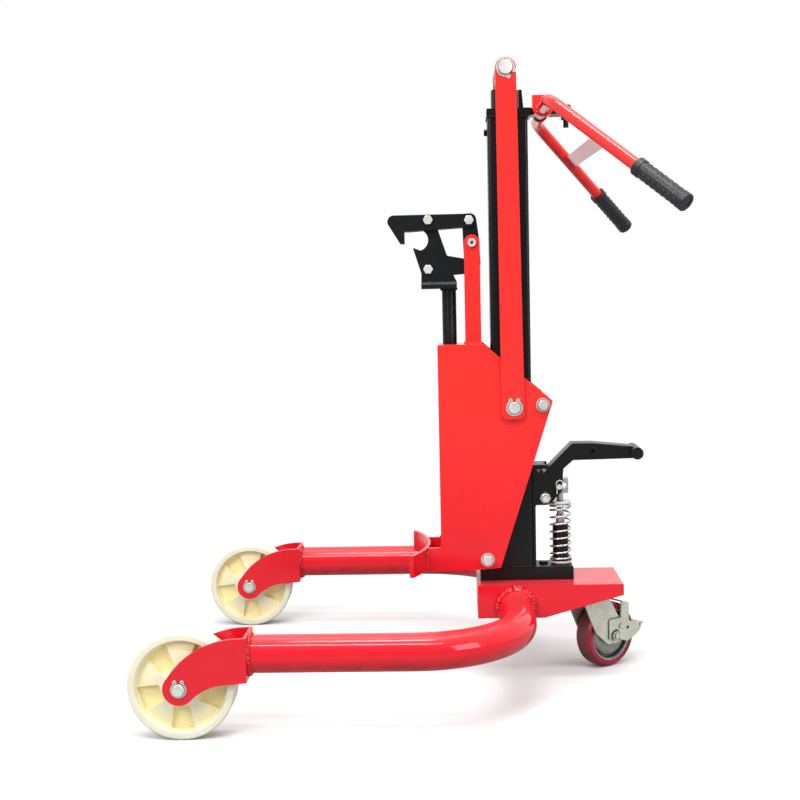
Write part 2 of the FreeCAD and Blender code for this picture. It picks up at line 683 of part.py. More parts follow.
def make_crosshead():
    """Block on the piston rod, between the straps, bored for its pin."""
    x, z = size("rod_x"), size("crosshead_z")
    outline = [(x - 18, z - 23), (x - 18, z + 18, 15), (x + 18, z + 18, 15), (x + 18, z - 23)]
    block = plate("CrossheadBlock", outline, "2 * (strap_inner - 0.5)", 0, [(x, z, "top_pin_radius")])
    stud_hole = rod("StudHole", ("rod_x", 0, "crosshead_z - 23"), 8, 9, "Z")
    keep("crosshead", cut("Crosshead", block, stud_hole))


def make_straps():
    """Two long flat straps that hang the carriage from the crosshead."""
    top, low = size("crosshead_z") + 18.5, 491
    x = size("rod_x")
    outline = [(x - 19, top, 18.9), (x + 19, top, 18.9), (22.5, low, 12), (-20.5, low, 12)]
    holes = [("top_pin_radius", x, size("crosshead_z")),
             ("low_pin_radius", size("low_pin_x"), size("low_pin_z"))]
    circles = [(across, up, radius) for radius, across, up in holes]
    for label, side in (("strap_left", -1), ("strap_right", 1)):
        middle = f"{side} * (strap_inner + strap_thick / 2)"
        keep(label, plate(label, outline, "strap_thick", middle, circles))


def make_strap_pins():
    """The long crosshead pin, and the two headed pins from carriage to straps."""
    face = size("strap_inner") + size("strap_thick")
    grooves = (-face - 1.65, face + 0.05)
    top = grooved_pin("CrossheadPin", size("top_pin_radius"), -face - 6, face + 6, grooves,
                      ("rod_x", 0, "crosshead_z"))
    inner = size("carriage_half") - size("carriage_wall")
    pins = [top]
    for side, way in (("Left", -1), ("Right", 1)):
        start = grooves[1] if way > 0 else grooves[0]
        ends = (inner, face + 6) if way > 0 else (-face - 6, -inner)
        at = ("low_pin_x", 0, "low_pin_z")
        shank = grooved_pin("StrapPin" + side, size("low_pin_radius"), *ends, (start,), at)
        head = rod("StrapPinHead" + side, ("low_pin_x", inner - 6 if way > 0 else -inner, "low_pin_z"), 15, 6)
        pins.append(fuse("HeadedPin" + side, shank, head))
    keep("strap_pins", group("StrapPins", *pins))


def make_strap_rings():
    """Retaining rings on the ends of the strap pins."""
    face = size("strap_inner") + size("strap_thick") + 0.1
    pins = [("rod_x", "crosshead_z", "top_pin_radius", 17, -225),
            ("low_pin_x", "low_pin_z", "low_pin_radius", 15.5, 0)]
    solids = []
    for x, z, radius, outer, turn in pins:
        for low in (-face - 1.5, face):
            solids.append(ring_at((size(x), low, size(z)), size(radius) - 0.95, outer, turn))
    keep("strap_rings", feature("StrapRings", Part.makeCompound(solids)))


def make_carriage():
    """Folded carriage: two cheeks, front and top plates, arms to the saddle, post guide."""
    front, rear_low, top = -138, -26, 632
    wall = size("carriage_wall")
    arm_end = -163.5
    item = body("CarriageFolding")
    side = [(arm_end, 204), (-71, 206), (rear_low, 209.6), (75.4, 523.7, 3), (-51, top), (front, top, 3),
            (front, 249, 4), (arm_end, 249)]
    pad(item, sketch(item, "XZ_Plane", side), "2 * carriage_half")
    inside = [(front + wall, 0), (front + wall, top - wall), (-54, top - wall), (-54, 700), (200, 700),
              (200, 0)]
    pocket(item, sketch(item, "XZ_Plane", inside), "2 * (carriage_half - carriage_wall)")
    between_arms = [(-200, 0), (-200, 700), (front, 700), (front, 0)]
    pocket(item, sketch(item, "XZ_Plane", between_arms), "2 * (carriage_half - carriage_wall)")
    post_hole = sketch(item, "XY_Plane", circles=[(size("post_x"), 0, "post_radius + running_gap")], lift=top)
    pocket(item, post_hole, "4 * carriage_wall")
    guide_bore = size("post_radius") + size("running_gap")
    guide_low, guide_high = 590, top - wall
    guide = turned("PostGuide", [(guide_bore, guide_low), (18, guide_low), (18, guide_high),
                                 (guide_bore, guide_high)], "post_x")
    boss_length = "carriage_half - carriage_wall - 29.5"
    bosses = []
    for name in ("upper_roller", "lower_roller"):
        for side, start in (("Left", f"-29.5 - ({boss_length})"), ("Right", 29.5)):
            at = (name + "_x", start, name + "_z")
            bosses.append(rod(name + "Boss" + side, at, 12, boss_length))
    whole = fuse("CarriageWeldment", item, guide, *bosses)
    wide = "2 * carriage_half"
    holes = [rod(name + "Hole", (name + "_x", "-carriage_half", name + "_z"), "roller_bolt", wide)
             for name in ("upper_roller", "lower_roller")]
    holes.append(rod("StrapPinHole", ("low_pin_x", "-carriage_half", "low_pin_z"), "low_pin_radius", wide))
    keep("carriage_frame", cut("Carriage", whole, *holes))


def make_saddle():
    """Curved plate that the drum's wall rests against."""
    near = size("saddle_radius")
    far = near + size("saddle_thick")
    centre = -165 - near
    chord = size("saddle_chord")

    def on(radius, way):
        return Vector(centre + math.sqrt(radius ** 2 - chord ** 2), way * chord, 0)

    item = body("DrumSaddle", 0, 0, "(saddle_low + saddle_high) / 2")
    drawn = sketch(item, "XY_Plane")
    drawn.addGeometry([
        Part.Arc(on(near, -1), Vector(centre + near, 0, 0), on(near, 1)),
        Part.LineSegment(on(near, 1), on(far, 1)),
        Part.Arc(on(far, 1), Vector(centre + far, 0, 0), on(far, -1)),
        Part.LineSegment(on(far, -1), on(near, -1)),
    ], False)
    pad(item, drawn, "saddle_high - saddle_low")
    keep("drum_saddle", item)


def make_rollers():
    """The two rollers that run on the mast, and their bolts through the carriage."""
    bolts = []
    for name in ("upper_roller", "lower_roller"):
        radius = size(name)
        hole = size("roller_bolt") + size("running_gap")
        outline = [(hole, -29), (radius, -29, 2), (radius, 29, 2), (hole, 29)]
        keep(name, turned(name, outline, name + "_x", 0, name + "_z", "Y"))
        x, z = name + "_x", name + "_z"
        tip = "-carriage_half - 14.5"
        parts = [rod(name + "Shank", (x, tip, z), "roller_bolt", "2 * carriage_half + 17"),
                 rod(name + "WasherNear", (x, "-carriage_half - 2.5", z), 13, 2.5),
                 hexagon(name + "Nut", (x, "-carriage_half - 11.5", z), 18, 9),
                 rod(name + "WasherFar", (x, "carriage_half", z), 13, 2.5),
                 hexagon(name + "Head", (x, "carriage_half + 2.5", z), 18, 8)]
        bolts.append(fuse(name + "Bolt", *parts))
    keep("roller_bolts", group("RollerBolts", *bolts))


# ---------------------------------------------------------------- gripper

def make_struts():
    """Two flat bars on the carriage with the socket screw that anchors the links."""
    x, top = size("strut_x"), size("strut_z") + 15
    foot = 632
    outline = [(x - 15, foot), (x + 15, foot), (x + 15, top, 14.9), (x - 15, top, 14.9)]
    hole = [(x, size("strut_z"), "gripper_bolt")]
    thick = "beak_half - cheek_inner - 0.2"
    bars = [plate(f"Strut{side}", outline, thick, f"{way} * (beak_half + cheek_inner + 0.2) / 2", hole)
            for side, way in (("Left", -1), ("Right", 1))]
    keep("struts", group("Struts", *bars))
    shank = rod("StrutShank", ("strut_x", "-beak_half", "strut_z"), "gripper_bolt", "2 * beak_half")
    head = rod("StrutHead", ("strut_x", "-beak_half - 6", "strut_z"), 8, 6)
    socket = primitive("Prism", "StrutSocket", Circumradius=6 * ACROSS_TO_RADIUS, Height=4)
    socket.Polygon = 6
    place(socket, "strut_x", "-beak_half - 6", "strut_z", "Y")
    nut = hexagon("StrutNut", ("strut_x", "beak_half", "strut_z"), 18, 6)
    keep("strut_pin", cut("StrutPin", fuse("StrutScrew", shank, head, nut), socket))


def make_post_and_collar():
    """Sliding round post and the welded collar that carries the fixed jaw."""
    radius, low = size("post_radius"), 560
    collar_low = size("collar_low")
    post = [(0, low), (radius, low, 2), (radius, collar_low), (0, collar_low)]
    keep("gripper_post", turned("GripperPost", post, "post_x"))
    foot_low, foot_high = size("collar_low"), size("collar_high")
    section = [(-20, foot_low), (-20, foot_high - 5), (-15, foot_high), (15, foot_high), (20, foot_high - 5),
               (20, foot_low)]
    foot = body("CollarPlate", -132.85)
    pad(foot, sketch(foot, "YZ_Plane", section), 67.3)
    lug = box("CollarLug", (-166.5, "jaw_half", "collar_high - 1"), (-138, "jaw_half + 8", 788))
    hole = rod("CollarHole", (-153.2, 0, 774), "gripper_bolt", 20)
    keep("gripper_collar", cut("GripperCollar", fuse("CollarWeldment", foot, lug), hole))


def make_jaw():
    """Fixed jaw plate: lower lip, round mouth, rear arm between the links, pivot spacers."""
    foot = size("collar_high")
    lip = Vector(-181.6, 815.6, 0)
    mouth_low, mouth_deep, mouth_top = Vector(-167, 810, 0), Vector(-152.2, 829, 0), Vector(-164, 848, 0)
    back = [(-164, 848, 0), (-163, 874, 0, 9), (-140, 874, 0, 9), (-133.2, 848.2, 0), (-116.9, 799.1, 0, 4),
            (-57, 788, 0, 6), (-57, 766, 0, 6), (-105.3, 762.2, 0), (-99.2, foot, 0), (-166.6, foot, 0),
            (-166.2, 766.4, 0), (lip.x, lip.y, 0)]
    item = body("JawPlate")
    drawn = sketch(item, "XZ_Plane")
    drawn.addGeometry(path(back, closed=False), False)
    drawn.addGeometry([Part.LineSegment(lip, mouth_low), Part.Arc(mouth_low, mouth_deep, mouth_top)], False)
    pad(item, drawn, "2 * jaw_half")
    spacer = rod("PivotSpacer", ("beak_x", "-cheek_inner + 0.05", "beak_z"), 9, "2 * cheek_inner - 0.1")
    holes = [rod("JawPivotHole", ("beak_x", "-beak_half", "beak_z"), "gripper_bolt", "2 * beak_half"),
             rod("JawBoltHole", (-153.2, "-jaw_half", 774), "gripper_bolt", "2 * jaw_half")]
    keep("gripper_jaw", cut("GripperJaw", fuse("JawWeldment", item, spacer), *holes))


def hex_bolt(name, x, z, head_face, nut_face):
    """A bolt along Y, its head before head_face and its nut behind nut_face."""
    head, nut = 6.5, 6.5
    long = f"({nut_face}) - ({head_face}) + {nut} + 2"
    return fuse(name, rod(name + "Shank", (x, head_face, z), "gripper_bolt", long),
                hexagon(name + "Head", (x, f"({head_face}) - {head}", z), 16, head),
                hexagon(name + "Nut", (x, nut_face, z), 16, nut))


def make_gripper_bolts():
    """The beak's pivot bolt, the jaw's lower bolt, and the bolt from beak to links."""
    pivot = hex_bolt("BeakBolt", "beak_x", "beak_z", "-beak_half - 0.2", "beak_half + 0.2")
    low = hex_bolt("JawBolt", -153.2, 774, "-jaw_half", "jaw_half + 8")
    keep("gripper_bolts", group("GripperBolts", pivot, low))
    keep("link_bolt", hex_bolt("LinkBolt", "rear_x", "rear_z", "-beak_half - 0.2", "beak_half + 0.2"))


def make_beak():
    """Pivoting beak: solid hooked nose, and two cheeks over the jaw and the links."""
    x, z = size("rear_x"), size("rear_z")
    outline = [(-196.6, 822.4), (-204.5, 822.4), (-237.5, 876.3, 12), (x - 12, z + 12),
               (x + 13, z + 13, 12.5), (x + 13, z - 13, 12.5), (x - 14, z - 13.5), (-196.8, 844.8)]
    item = body("Beak")
    pad(item, sketch(item, "XZ_Plane", outline), "2 * beak_half")
    slot = [(-190, 820), (-190, 900), (0, 900), (0, 820)]
    pocket(item, sketch(item, "XZ_Plane", slot), "2 * cheek_inner")
    holes = [(size("beak_x"), size("beak_z"), "gripper_bolt + running_gap"),
             (x, z, "gripper_bolt + open_pivot_gap")]
    pocket(item, sketch(item, "XZ_Plane", circles=holes), "4 * beak_half")
    keep("gripper_beak", item)


def make_links():
    """Two link plates from the strut pin up to the beak's rear bolt."""
    x, z = size("rear_x"), size("rear_z")
    outline = [(x - 13, z + 13, 12), (x + 12.5, z + 13, 12), (-56, 832, 20), (-53.4, 777, 6), (-82, 777, 6),
               (-85.3, 803)]
    circles = [(x, z, "gripper_bolt"), (size("strut_x"), size("strut_z"), "gripper_bolt + running_gap")]
    middle = "(jaw_half + 0.5 + link_thick / 2)"
    links = [plate(f"Link{side}", outline, "link_thick", f"{way} * {middle}", circles)
             for side, way in (("Left", -1), ("Right", 1))]
    keep("gripper_links", group("GripperLinks", *links))


# ---------------------------------------------------------------- handle

HANDLE_CORNER = (65, 167, 1063)
HANDLE_END = (269, 364, 863)


def arm_point(back):
    """A point of the right handle arm's axis, measured back from the grip's end."""
    end, corner = Vector(*HANDLE_END), Vector(*HANDLE_CORNER)
    return end + (corner - end).normalize() * back


def make_handle():
    """Cross bar and lug on the tongue, two bent tubes with grips, and the flat brace."""
    lug = rod("BossLug", ("boss_x", -40, "boss_z"), 20, 17.5)
    shoulder = box("BossShoulder", ("boss_x - 20", -40, "boss_z"), ("boss_x", -22.5, "boss_z + 20"))
    bar = rod("BossBar", (HANDLE_CORNER[0], -40, HANDLE_CORNER[2]), "handle_radius", 80)
    boss = fuse("BossBlank", lug, shoulder, bar)
    window = box("BossWindow", ("boss_x - 22", -22.05, "boss_z - 13.05"),
                 ("boss_x + 22", 22.05, "boss_z - 0.95"))
    keep("handle_boss", cut("HandleBoss", boss, window))
    outer, wall, bend = size("handle_radius"), 2.5, 55
    tip = arm_point(3)
    heading = (Vector(*HANDLE_END) - Vector(*HANDLE_CORNER)).normalize()
    grip_foot = arm_point(size("grip_length"))
    for label, side in (("left", -1), ("right", 1)):
        corner = (HANDLE_CORNER[0], side * HANDLE_CORNER[1], HANDLE_CORNER[2])
        route = [(corner[0], side * 40, corner[2]), (*corner, bend), (tip.x, side * tip.y, tip.z)]
        keep("handle_" + label, feature("HandleTube" + label, swept(route, outer, outer - wall)))
        turn = Rotation(Vector(0, 0, 1), Vector(heading.x, side * heading.y, heading.z))
        radius, long = size("grip_radius"), size("grip_length")
        collar = radius + 1.5
        outline = [(outer, 0), (collar, 0, 1), (collar, 12, 0.8), (radius, 13.5), (radius, long - 15),
                   (collar - 0.4, long - 13.5, 0.8), (collar - 0.4, long, 1.5), (radius - 4, long),
                   (radius - 5, long - 1.5), (0, long - 1.5), (0, long - 3), (outer, long - 3)]
        foot = (grip_foot.x, side * grip_foot.y, grip_foot.z)
        keep("grip_" + label, turned("Grip" + label, outline, *foot, turn))
    keep("handle_brace", feature("HandleBrace", brace_shape(outer, tip)))


def brace_shape(outer, tip):
    """A flat bar across between the arms, a little skew, cut back to fit their tubes."""
    wide, thick = 27, 5
    left_share, right_share = 0.407, 0.359      # how far down each arm the bar is welded
    end, corner = Vector(*HANDLE_END), Vector(*HANDLE_CORNER)
    arm = end - corner
    left, right = corner + arm * left_share, corner + arm * right_share
    left.y = -left.y
    along = right - left
    across = Vector(arm.x, 0, arm.z).normalize()
    bar = Part.Face(Part.makePolygon([left - across * wide / 2, left + across * wide / 2,
                                      right + across * wide / 2, right - across * wide / 2,
                                      left - across * wide / 2]))
    flat_side = along.cross(across).normalize() * thick
    bar.translate(flat_side * -0.5)
    bar = bar.extrude(flat_side)
    for side in (-1, 1):
        foot = Vector(corner.x, side * corner.y, corner.z)
        axis = Vector(tip.x, side * tip.y, tip.z) - foot
        bar = bar.cut(Part.makeCylinder(outer + 0.05, axis.Length, foot, axis))
    return max(bar.Solids, key=lambda solid: solid.Volume)


# ---------------------------------------------------------------- castor

def castor_place(item, forward=0, height=0, turn_y=False):
    """Put an item in the castor's turned frame, forward along its trail."""
    angle = size("castor_turn")
    turn = Rotation(Vector(0, 0, 1), angle)
    if turn_y:
        turn = turn.multiply(TURN["Y"])
    across = forward * math.cos(math.radians(angle))
    aside = forward * math.sin(math.radians(angle))
    return place(item, f"swivel_x + {across}", aside, height, turn)


def make_castor_plate():
    """The castor's bolted top plate, and its four bolts."""
    item = body("CastorPlate", "swivel_x", 0, "castor_plate_z + 3")
    outline = [(-43, -42, 8), (43, -42, 8), (43, 42, 8), (-43, 42, 8)]
    circles = [(dx, dy, 4.25) for dx, dy in CASTOR_BOLTS] + [(0, 0, "8 + running_gap")]
    pad(item, sketch(item, "XY_Plane", outline, circles), 6)
    keep("castor_plate", item)
    bolts = []
    for index, (dx, dy) in enumerate(CASTOR_BOLTS):
        x = f"swivel_x + {dx}"
        shank = rod(f"CastorShank{index}", (x, dy, "castor_plate_z"), 4.25, 21, "Z")
        bolts.append(fuse(f"CastorBolt{index}", shank,
                          hexagon(f"CastorHead{index}", (x, dy, "castor_plate_z - 5.3"), 13, 5.3, "Z"),
                          hexagon(f"CastorNut{index}", (x, dy, "castor_plate_z + 12"), 13, 6.5, "Z")))
    keep("castor_bolts", group("CastorBolts", *bolts))


def make_castor_fork():
    """Pressed swivel fork with its race, kingpin and brake rivets."""
    inner, outer = size("castor_fork_inner"), size("castor_fork_outer")
    trail, radius = size("castor_trail"), size("castor_radius")
    crown = size("castor_plate_z") - 10
    item = castor_place(doc.addObject("PartDesign::Body", "CastorForkBody"))
    low = radius - 16
    cheek = [(-46, crown, 2), (-44, 128, 8), (-17, 73, 25), (trail - 16, low, 15), (trail + 16, low, 15),
             (56, radius, 8), (56, 92, 5), (42, 99, 6), (22, 131, 4), (16, crown, 3)]
    pad(item, sketch(item, "XZ_Plane", cheek), "2 * castor_fork_outer")
    gap = [(-60, 0), (-60, crown - 6), (80, crown - 6), (80, 0)]
    pocket(item, sketch(item, "XZ_Plane", gap), "2 * castor_fork_inner")
    axle_hole = sketch(item, "XZ_Plane", circles=[(trail, radius, "castor_axle_radius")])
    pocket(item, axle_hole, "4 * castor_fork_outer")
    top = size("castor_plate_z")
    under, over, head = top - 0.1, top + 6.1, top + 11
    race = turned("CastorRace", [(0, crown), (29, crown), (31, crown + 3, 1), (31, top - 3, 1), (27, under),
                                 (8, under), (8, over), (12, over), (12, head, 2), (0, head)], "swivel_x")
    long = BRAKE_PLATE + outer - inner + 0.3
    rivets = []
    for index, low in enumerate((-inner - long, inner)):
        rivet = primitive("Cylinder", f"BrakeRivet{index}", Radius=4, Height=long + 2)
        castor_place(rivet, 0, 0, True)
        rivets.append(castor_shift(rivet, *BRAKE_PIVOT, low - 2 * (1 - index)))
    keep("castor_fork", fuse("CastorFork", item, race, *rivets))


BRAKE_PLATE = 3              # thickness of the brake's pressed steel
BRAKE_PIVOT = (45, 79)       # its rivets, along the trail and up


def castor_shift(item, forward, height, aside):
    """Move an item of the castor to a point of the castor's own frame."""
    angle = math.radians(size("castor_turn"))
    x = forward * math.cos(angle) - aside * math.sin(angle)
    y = forward * math.sin(angle) + aside * math.cos(angle)
    item.setExpression("Placement.Base.x", bound(f"mast_x + swivel_x + ({x})"))
    item.setExpression("Placement.Base.y", bound(y))
    item.setExpression("Placement.Base.z", bound(height))
    return item


def make_castor_wheel():
    """Castor axle bolt, cored hub and the cast tyre on it."""
    trail = size("castor_trail")

    def on_axle(item):
        return castor_place(item, trail, "castor_radius", True)

    half, radius = size("castor_half"), size("castor_radius")
    inner = 50
    tread = [(inner, -half + 1), (radius - 4, -half, 2), (radius, -half + 6, 6), (radius, half - 6, 6),
             (radius - 4, half, 2), (inner, half - 1)]
    keep("castor_tyre", on_axle(turned("CastorTyre", tread)))
    bore = size("castor_axle_radius") + size("running_gap")
    side = [(bore, 21.5), (12, 21.5, 1), (13, 17.5), (37, 15, 2), (41, 12, 2), (42, 8), (46, 8),
            (46.5, 17.5, 1), (inner, 18)]
    mirrored = [(point[0], -point[1], *point[2:]) for point in reversed(side)]
    keep("castor_hub", on_axle(turned("CastorHub", side + mirrored)))
    outer = size("castor_fork_outer")
    thread = outer + 9
    shank = turned("CastorShank", [(0, -thread), (5, -thread), (5, thread), (0, thread)])
    ends = []
    for index, low in enumerate((-outer - 6.5, outer)):
        nut = primitive("Prism", f"AxleNut{index}", Circumradius=f"16 * {ACROSS_TO_RADIUS}", Height=6.5)
        nut.Polygon = 6
        castor_place(nut, 0, 0, True)
        ends.append(castor_shift(nut, trail, "castor_radius", low))
    keep("castor_axle", fuse("CastorAxle", on_axle(shank), *ends))


def castor_prism(name, outline, length):
    """A prism across the castor, from an outline along its trail and up."""
    item = castor_place(doc.addObject("PartDesign::Body", name))
    pad(item, sketch(item, "XZ_Plane", outline), length)
    return item


def make_brake():
    """Foot brake on the castor: two pressed side plates, a yoke over the tyre and a toe tab."""
    inner = size("castor_fork_outer") + 0.3
    wide = 2 * (inner + BRAKE_PLATE)
    pivot_x, pivot_z = BRAKE_PIVOT
    outline = [(15, 57, 2), (15, 95, 3), (46, 95, 1), (48, 128, 3), (68, 122, 4), (68, 85, 6), (96, 79, 2),
               (96, 61, 3), (84, 53, 8), (64, 46, 10), (46, 52, 5), (38, 57, 2)]
    plates = castor_prism("BrakePlates", outline, wide)
    gap = [(0, 0), (0, 200), (200, 200), (200, 0)]
    pocket(plates, sketch(plates, "XZ_Plane", gap), 2 * inner)
    holes = [(pivot_x, pivot_z, "4 + running_gap"), (size("castor_trail"), size("castor_radius"), 12),
             (65, 73, 3.5)]
    pocket(plates, sketch(plates, "XZ_Plane", circles=holes), 2 * wide)
    yoke = castor_prism("BrakeYoke", [(48, 125.3), (49, 128.2), (68, 122.3), (67.2, 119.4)], wide)
    toe = [(96.2, 60), (95.4, 62), (95.4, 66), (103, 78, 3), (108, 78), (108, 75), (106, 74, 3)]
    tab = castor_prism("BrakeTab", toe, wide)
    keep("brake_lever", fuse("BrakeLever", plates, yoke, tab))


# ---------------------------------------------------------------- the whole machine

def make_all():
    make_base()
    for label, side in (("left", -1), ("right", 1)):
        make_leg("leg_" + label, side)
        make_fork("fork_" + label, side)
        make_nylon_wheel("wheel_" + label, side)
        make_wheel_bearings("bearings_" + label, side)
    make_front_axles()
    make_axle_rings()
    make_mast()
    make_head_bracket()
    make_bracket_bolts()
    make_lift_cylinder()
    make_pump()
    make_pedal_bracket()
    make_pedal_bolts()
    make_pedal()
    make_crosshead()
    make_straps()
    make_strap_pins()
    make_strap_rings()
    make_carriage()
    make_saddle()
    make_rollers()
    make_struts()
    make_post_and_collar()
    make_jaw()
    make_gripper_bolts()
    make_beak()
    make_links()
    make_handle()
    make_castor_plate()
    make_castor_fork()
    make_castor_wheel()
    make_brake()


def check_and_export():
    """Stop on any failed object, then write each sub-part to its own file."""
    doc.recompute()
    failed = [item.Name for item in doc.Objects if {"Invalid", "Error"} & set(item.State)]
    for label, item in subparts.items():
        if item.Shape.isNull() or not item.Shape.isValid() or item.Shape.Volume < 1:
            failed.append(label)
    if failed:
        raise RuntimeError("not built: " + ", ".join(failed))
    os.makedirs("parts", exist_ok=True)
    for label, item in subparts.items():
        item.Shape.exportStep(f"parts/{label}.step")
        print(f"{label}: {len(item.Shape.Solids)} solid(s), {item.Shape.Volume / 1000:.1f} cm3")


make_all()
check_and_export()
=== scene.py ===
"""Looks of the drum lifter: camera, light, finishes, weld beads, grip ribs and the spring.

Blender works in metres in the row frame: -X is the front, where the drum stands, and +Z is up.
Sizes of trim are written in millimetres and multiplied by MM.
"""

import json
import math
import random

import bmesh
import bpy
from mathutils import Matrix, Vector


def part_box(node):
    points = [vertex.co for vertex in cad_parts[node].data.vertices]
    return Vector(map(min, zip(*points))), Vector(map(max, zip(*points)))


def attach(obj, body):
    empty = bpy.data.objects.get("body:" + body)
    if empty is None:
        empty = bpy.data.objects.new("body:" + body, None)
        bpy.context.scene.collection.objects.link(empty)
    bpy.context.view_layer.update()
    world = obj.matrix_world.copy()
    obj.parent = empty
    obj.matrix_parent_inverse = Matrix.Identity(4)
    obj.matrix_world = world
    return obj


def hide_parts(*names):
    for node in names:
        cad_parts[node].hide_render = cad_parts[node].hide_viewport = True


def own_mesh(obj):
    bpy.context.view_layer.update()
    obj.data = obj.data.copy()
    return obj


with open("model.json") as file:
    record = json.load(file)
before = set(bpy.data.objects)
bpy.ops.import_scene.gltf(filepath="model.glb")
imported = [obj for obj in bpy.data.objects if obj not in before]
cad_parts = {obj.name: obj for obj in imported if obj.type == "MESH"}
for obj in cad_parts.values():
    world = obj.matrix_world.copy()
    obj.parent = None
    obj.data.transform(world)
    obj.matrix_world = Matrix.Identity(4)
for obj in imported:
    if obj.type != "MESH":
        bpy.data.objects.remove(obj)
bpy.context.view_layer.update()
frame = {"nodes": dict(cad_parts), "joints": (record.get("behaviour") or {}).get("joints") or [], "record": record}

MM = 0.001
NODES = frame["nodes"]

# Places and sizes of the frame that the trim follows, in millimetres. Each y is for the right-hand side.
LEG_ROOT = (188.05, 75, 138)
LEG_RADIUS = 31.75
LEG_TIP = (-267.5, 374, 138)
HANDLE_BOSS = (253, 40, 1063)
HANDLE_CORNER = (253, 167, 1063)
HANDLE_END = (457, 364, 863)
HANDLE_RADIUS = 11.0
GRIP_LENGTH = 116.0
MAST_FRONT = 151
MAST_BACK = 225
MAST_SIDE = 30.4
MAST_CAP_UNDERSIDE = 1052.4
MAST_FOOT_TOP = 205.4
PEDAL_SPACER_X = 340
PEDAL_SPACER_Z = 424
SPRING_WIRE_RADIUS = 2.0

SIDES = (("left", -1), ("right", 1))


# ---------------------------------------------------------------- camera, light and floor

def make_camera():
    """A 58 mm lens at hip height beside the left-hand side, tilted down and slightly rolled."""
    place = Vector((0.07774, -2.46443, 0.72388))
    yaw = math.radians(-2.36846)
    pitch = math.radians(4.58388)
    roll = math.radians(1.25764)
    level = math.cos(pitch)
    forward = Vector((math.sin(yaw) * level, math.cos(yaw) * level, -math.sin(pitch)))
    right = Vector((math.cos(yaw), -math.sin(yaw), 0.0))
    down = forward.cross(right)
    across = math.cos(roll) * right + math.sin(roll) * down
    up = math.sin(roll) * right - math.cos(roll) * down
    data = bpy.data.cameras.new("camera")
    data.sensor_width = 36.0
    data.lens = 58.05
    data.clip_end = 60.0
    camera = bpy.data.objects.new("camera", data)
    turn = Matrix((across, up, -forward)).transposed()
    camera.matrix_world = Matrix.Translation(place) @ turn.to_4x4()
    bpy.context.scene.collection.objects.link(camera)
    bpy.context.scene.camera = camera


def make_area_light(name, place, target, width, height, power):
    data = bpy.data.lights.new(name, "AREA")
    data.shape = "RECTANGLE"
    data.size = width
    data.size_y = height
    data.energy = power
    light = bpy.data.objects.new(name, data)
    light.location = place
    aim = Vector(target) - Vector(place)
    light.rotation_euler = aim.to_track_quat("-Z", "Y").to_euler()
    bpy.context.scene.collection.objects.link(light)


def make_light():
    """Large soft boxes on the camera's side, two strips overhead, and a bright surround."""
    middle = (0.0, 0.0, 0.5)
    make_area_light("key_softbox", (-2.0, -3.0, 2.2), middle, 1.8, 1.5, 66)
    make_area_light("side_softbox", (2.6, -2.4, 1.5), middle, 1.5, 1.8, 38)
    make_area_light("near_strip", (-0.2, -1.7, 2.7), middle, 2.6, 0.16, 38)
    make_area_light("far_strip", (0.0, -0.5, 3.0), middle, 1.1, 0.4, 24)
    make_area_light("top_softbox", (0.2, 0.6, 3.2), middle, 2.4, 1.2, 18)
    world = bpy.data.worlds.new("studio")
    bpy.context.scene.world = world
    world.use_nodes = True
    tree = world.node_tree
    # The surround is brightest behind and above the object and dimmest on the camera's side
    direction = tree.nodes.new("ShaderNodeTexCoord").outputs["Generated"]
    toward = tree.nodes.new("ShaderNodeVectorMath")
    toward.operation = "DOT_PRODUCT"
    toward.inputs[1].default_value = (0.0, 1.0, 0.8)
    tree.links.new(direction, toward.inputs[0])
    fade = tree.nodes.new("ShaderNodeMapRange")
    fade.interpolation_type = "SMOOTHSTEP"
    fade.inputs["From Min"].default_value = -0.7
    fade.inputs["From Max"].default_value = 0.5
    fade.inputs["To Min"].default_value = 0.34
    fade.inputs["To Max"].default_value = 0.95
    tree.links.new(toward.outputs["Value"], fade.inputs["Value"])
    seen = tree.nodes.new("ShaderNodeLightPath").outputs["Is Camera Ray"]
    brightness = tree.nodes.new("ShaderNodeMix")
    brightness.inputs["B"].default_value = 1.0
    tree.links.new(seen, brightness.inputs["Factor"])
    tree.links.new(fade.outputs["Result"], brightness.inputs["A"])
    background = tree.nodes["Background"]
    background.inputs["Color"].default_value = (1.0, 1.0, 1.0, 1.0)
    tree.links.new(brightness.outputs["Result"], background.inputs["Strength"])
    bpy.context.scene.view_settings.view_transform = "Standard"


def make_floor():
    """A pale floor that takes the object's soft shadows and glows to white further out."""
    reach = 14.0
    mesh = bpy.data.meshes.new("studio_floor")
    corners = [(-reach, -reach, 0), (reach, -reach, 0), (reach, reach, 0), (-reach, reach, 0)]
    mesh.from_pydata(corners, [], [(0, 1, 2, 3)])
    floor = bpy.data.objects.new("studio_floor", mesh)
    bpy.context.scene.collection.objects.link(floor)
    material, nodes = new_material("studio_floor")
    away = nodes.add("ShaderNodeVectorMath", operation="LENGTH")
    nodes.link(nodes.place, away.inputs[0])
    far = nodes.spread(away.outputs["Value"], 0.75, 2.1)
    seen = nodes.add("ShaderNodeLightPath").outputs["Is Camera Ray"]
    near_color = nodes.mix(seen, (0.36, 0.36, 0.36), (0.80, 0.80, 0.80))
    nodes.base(color=nodes.mix(far, near_color, (0.02, 0.02, 0.02)), roughness=0.9)
    nodes.shader.inputs["Specular IOR Level"].default_value = 0.0
    nodes.shader.inputs["Emission Color"].default_value = (1.0, 1.0, 1.0, 1.0)
    behind = nodes.spread(nodes.part_of(nodes.place, "Y"), 0.3, 1.6, 0.42, 0.95)
    glow = nodes.math("MAXIMUM", behind, seen)
    nodes.link(nodes.math("MULTIPLY", far, glow), nodes.shader.inputs["Emission Strength"])
    mesh.materials.append(material)


# ---------------------------------------------------------------- material nodes

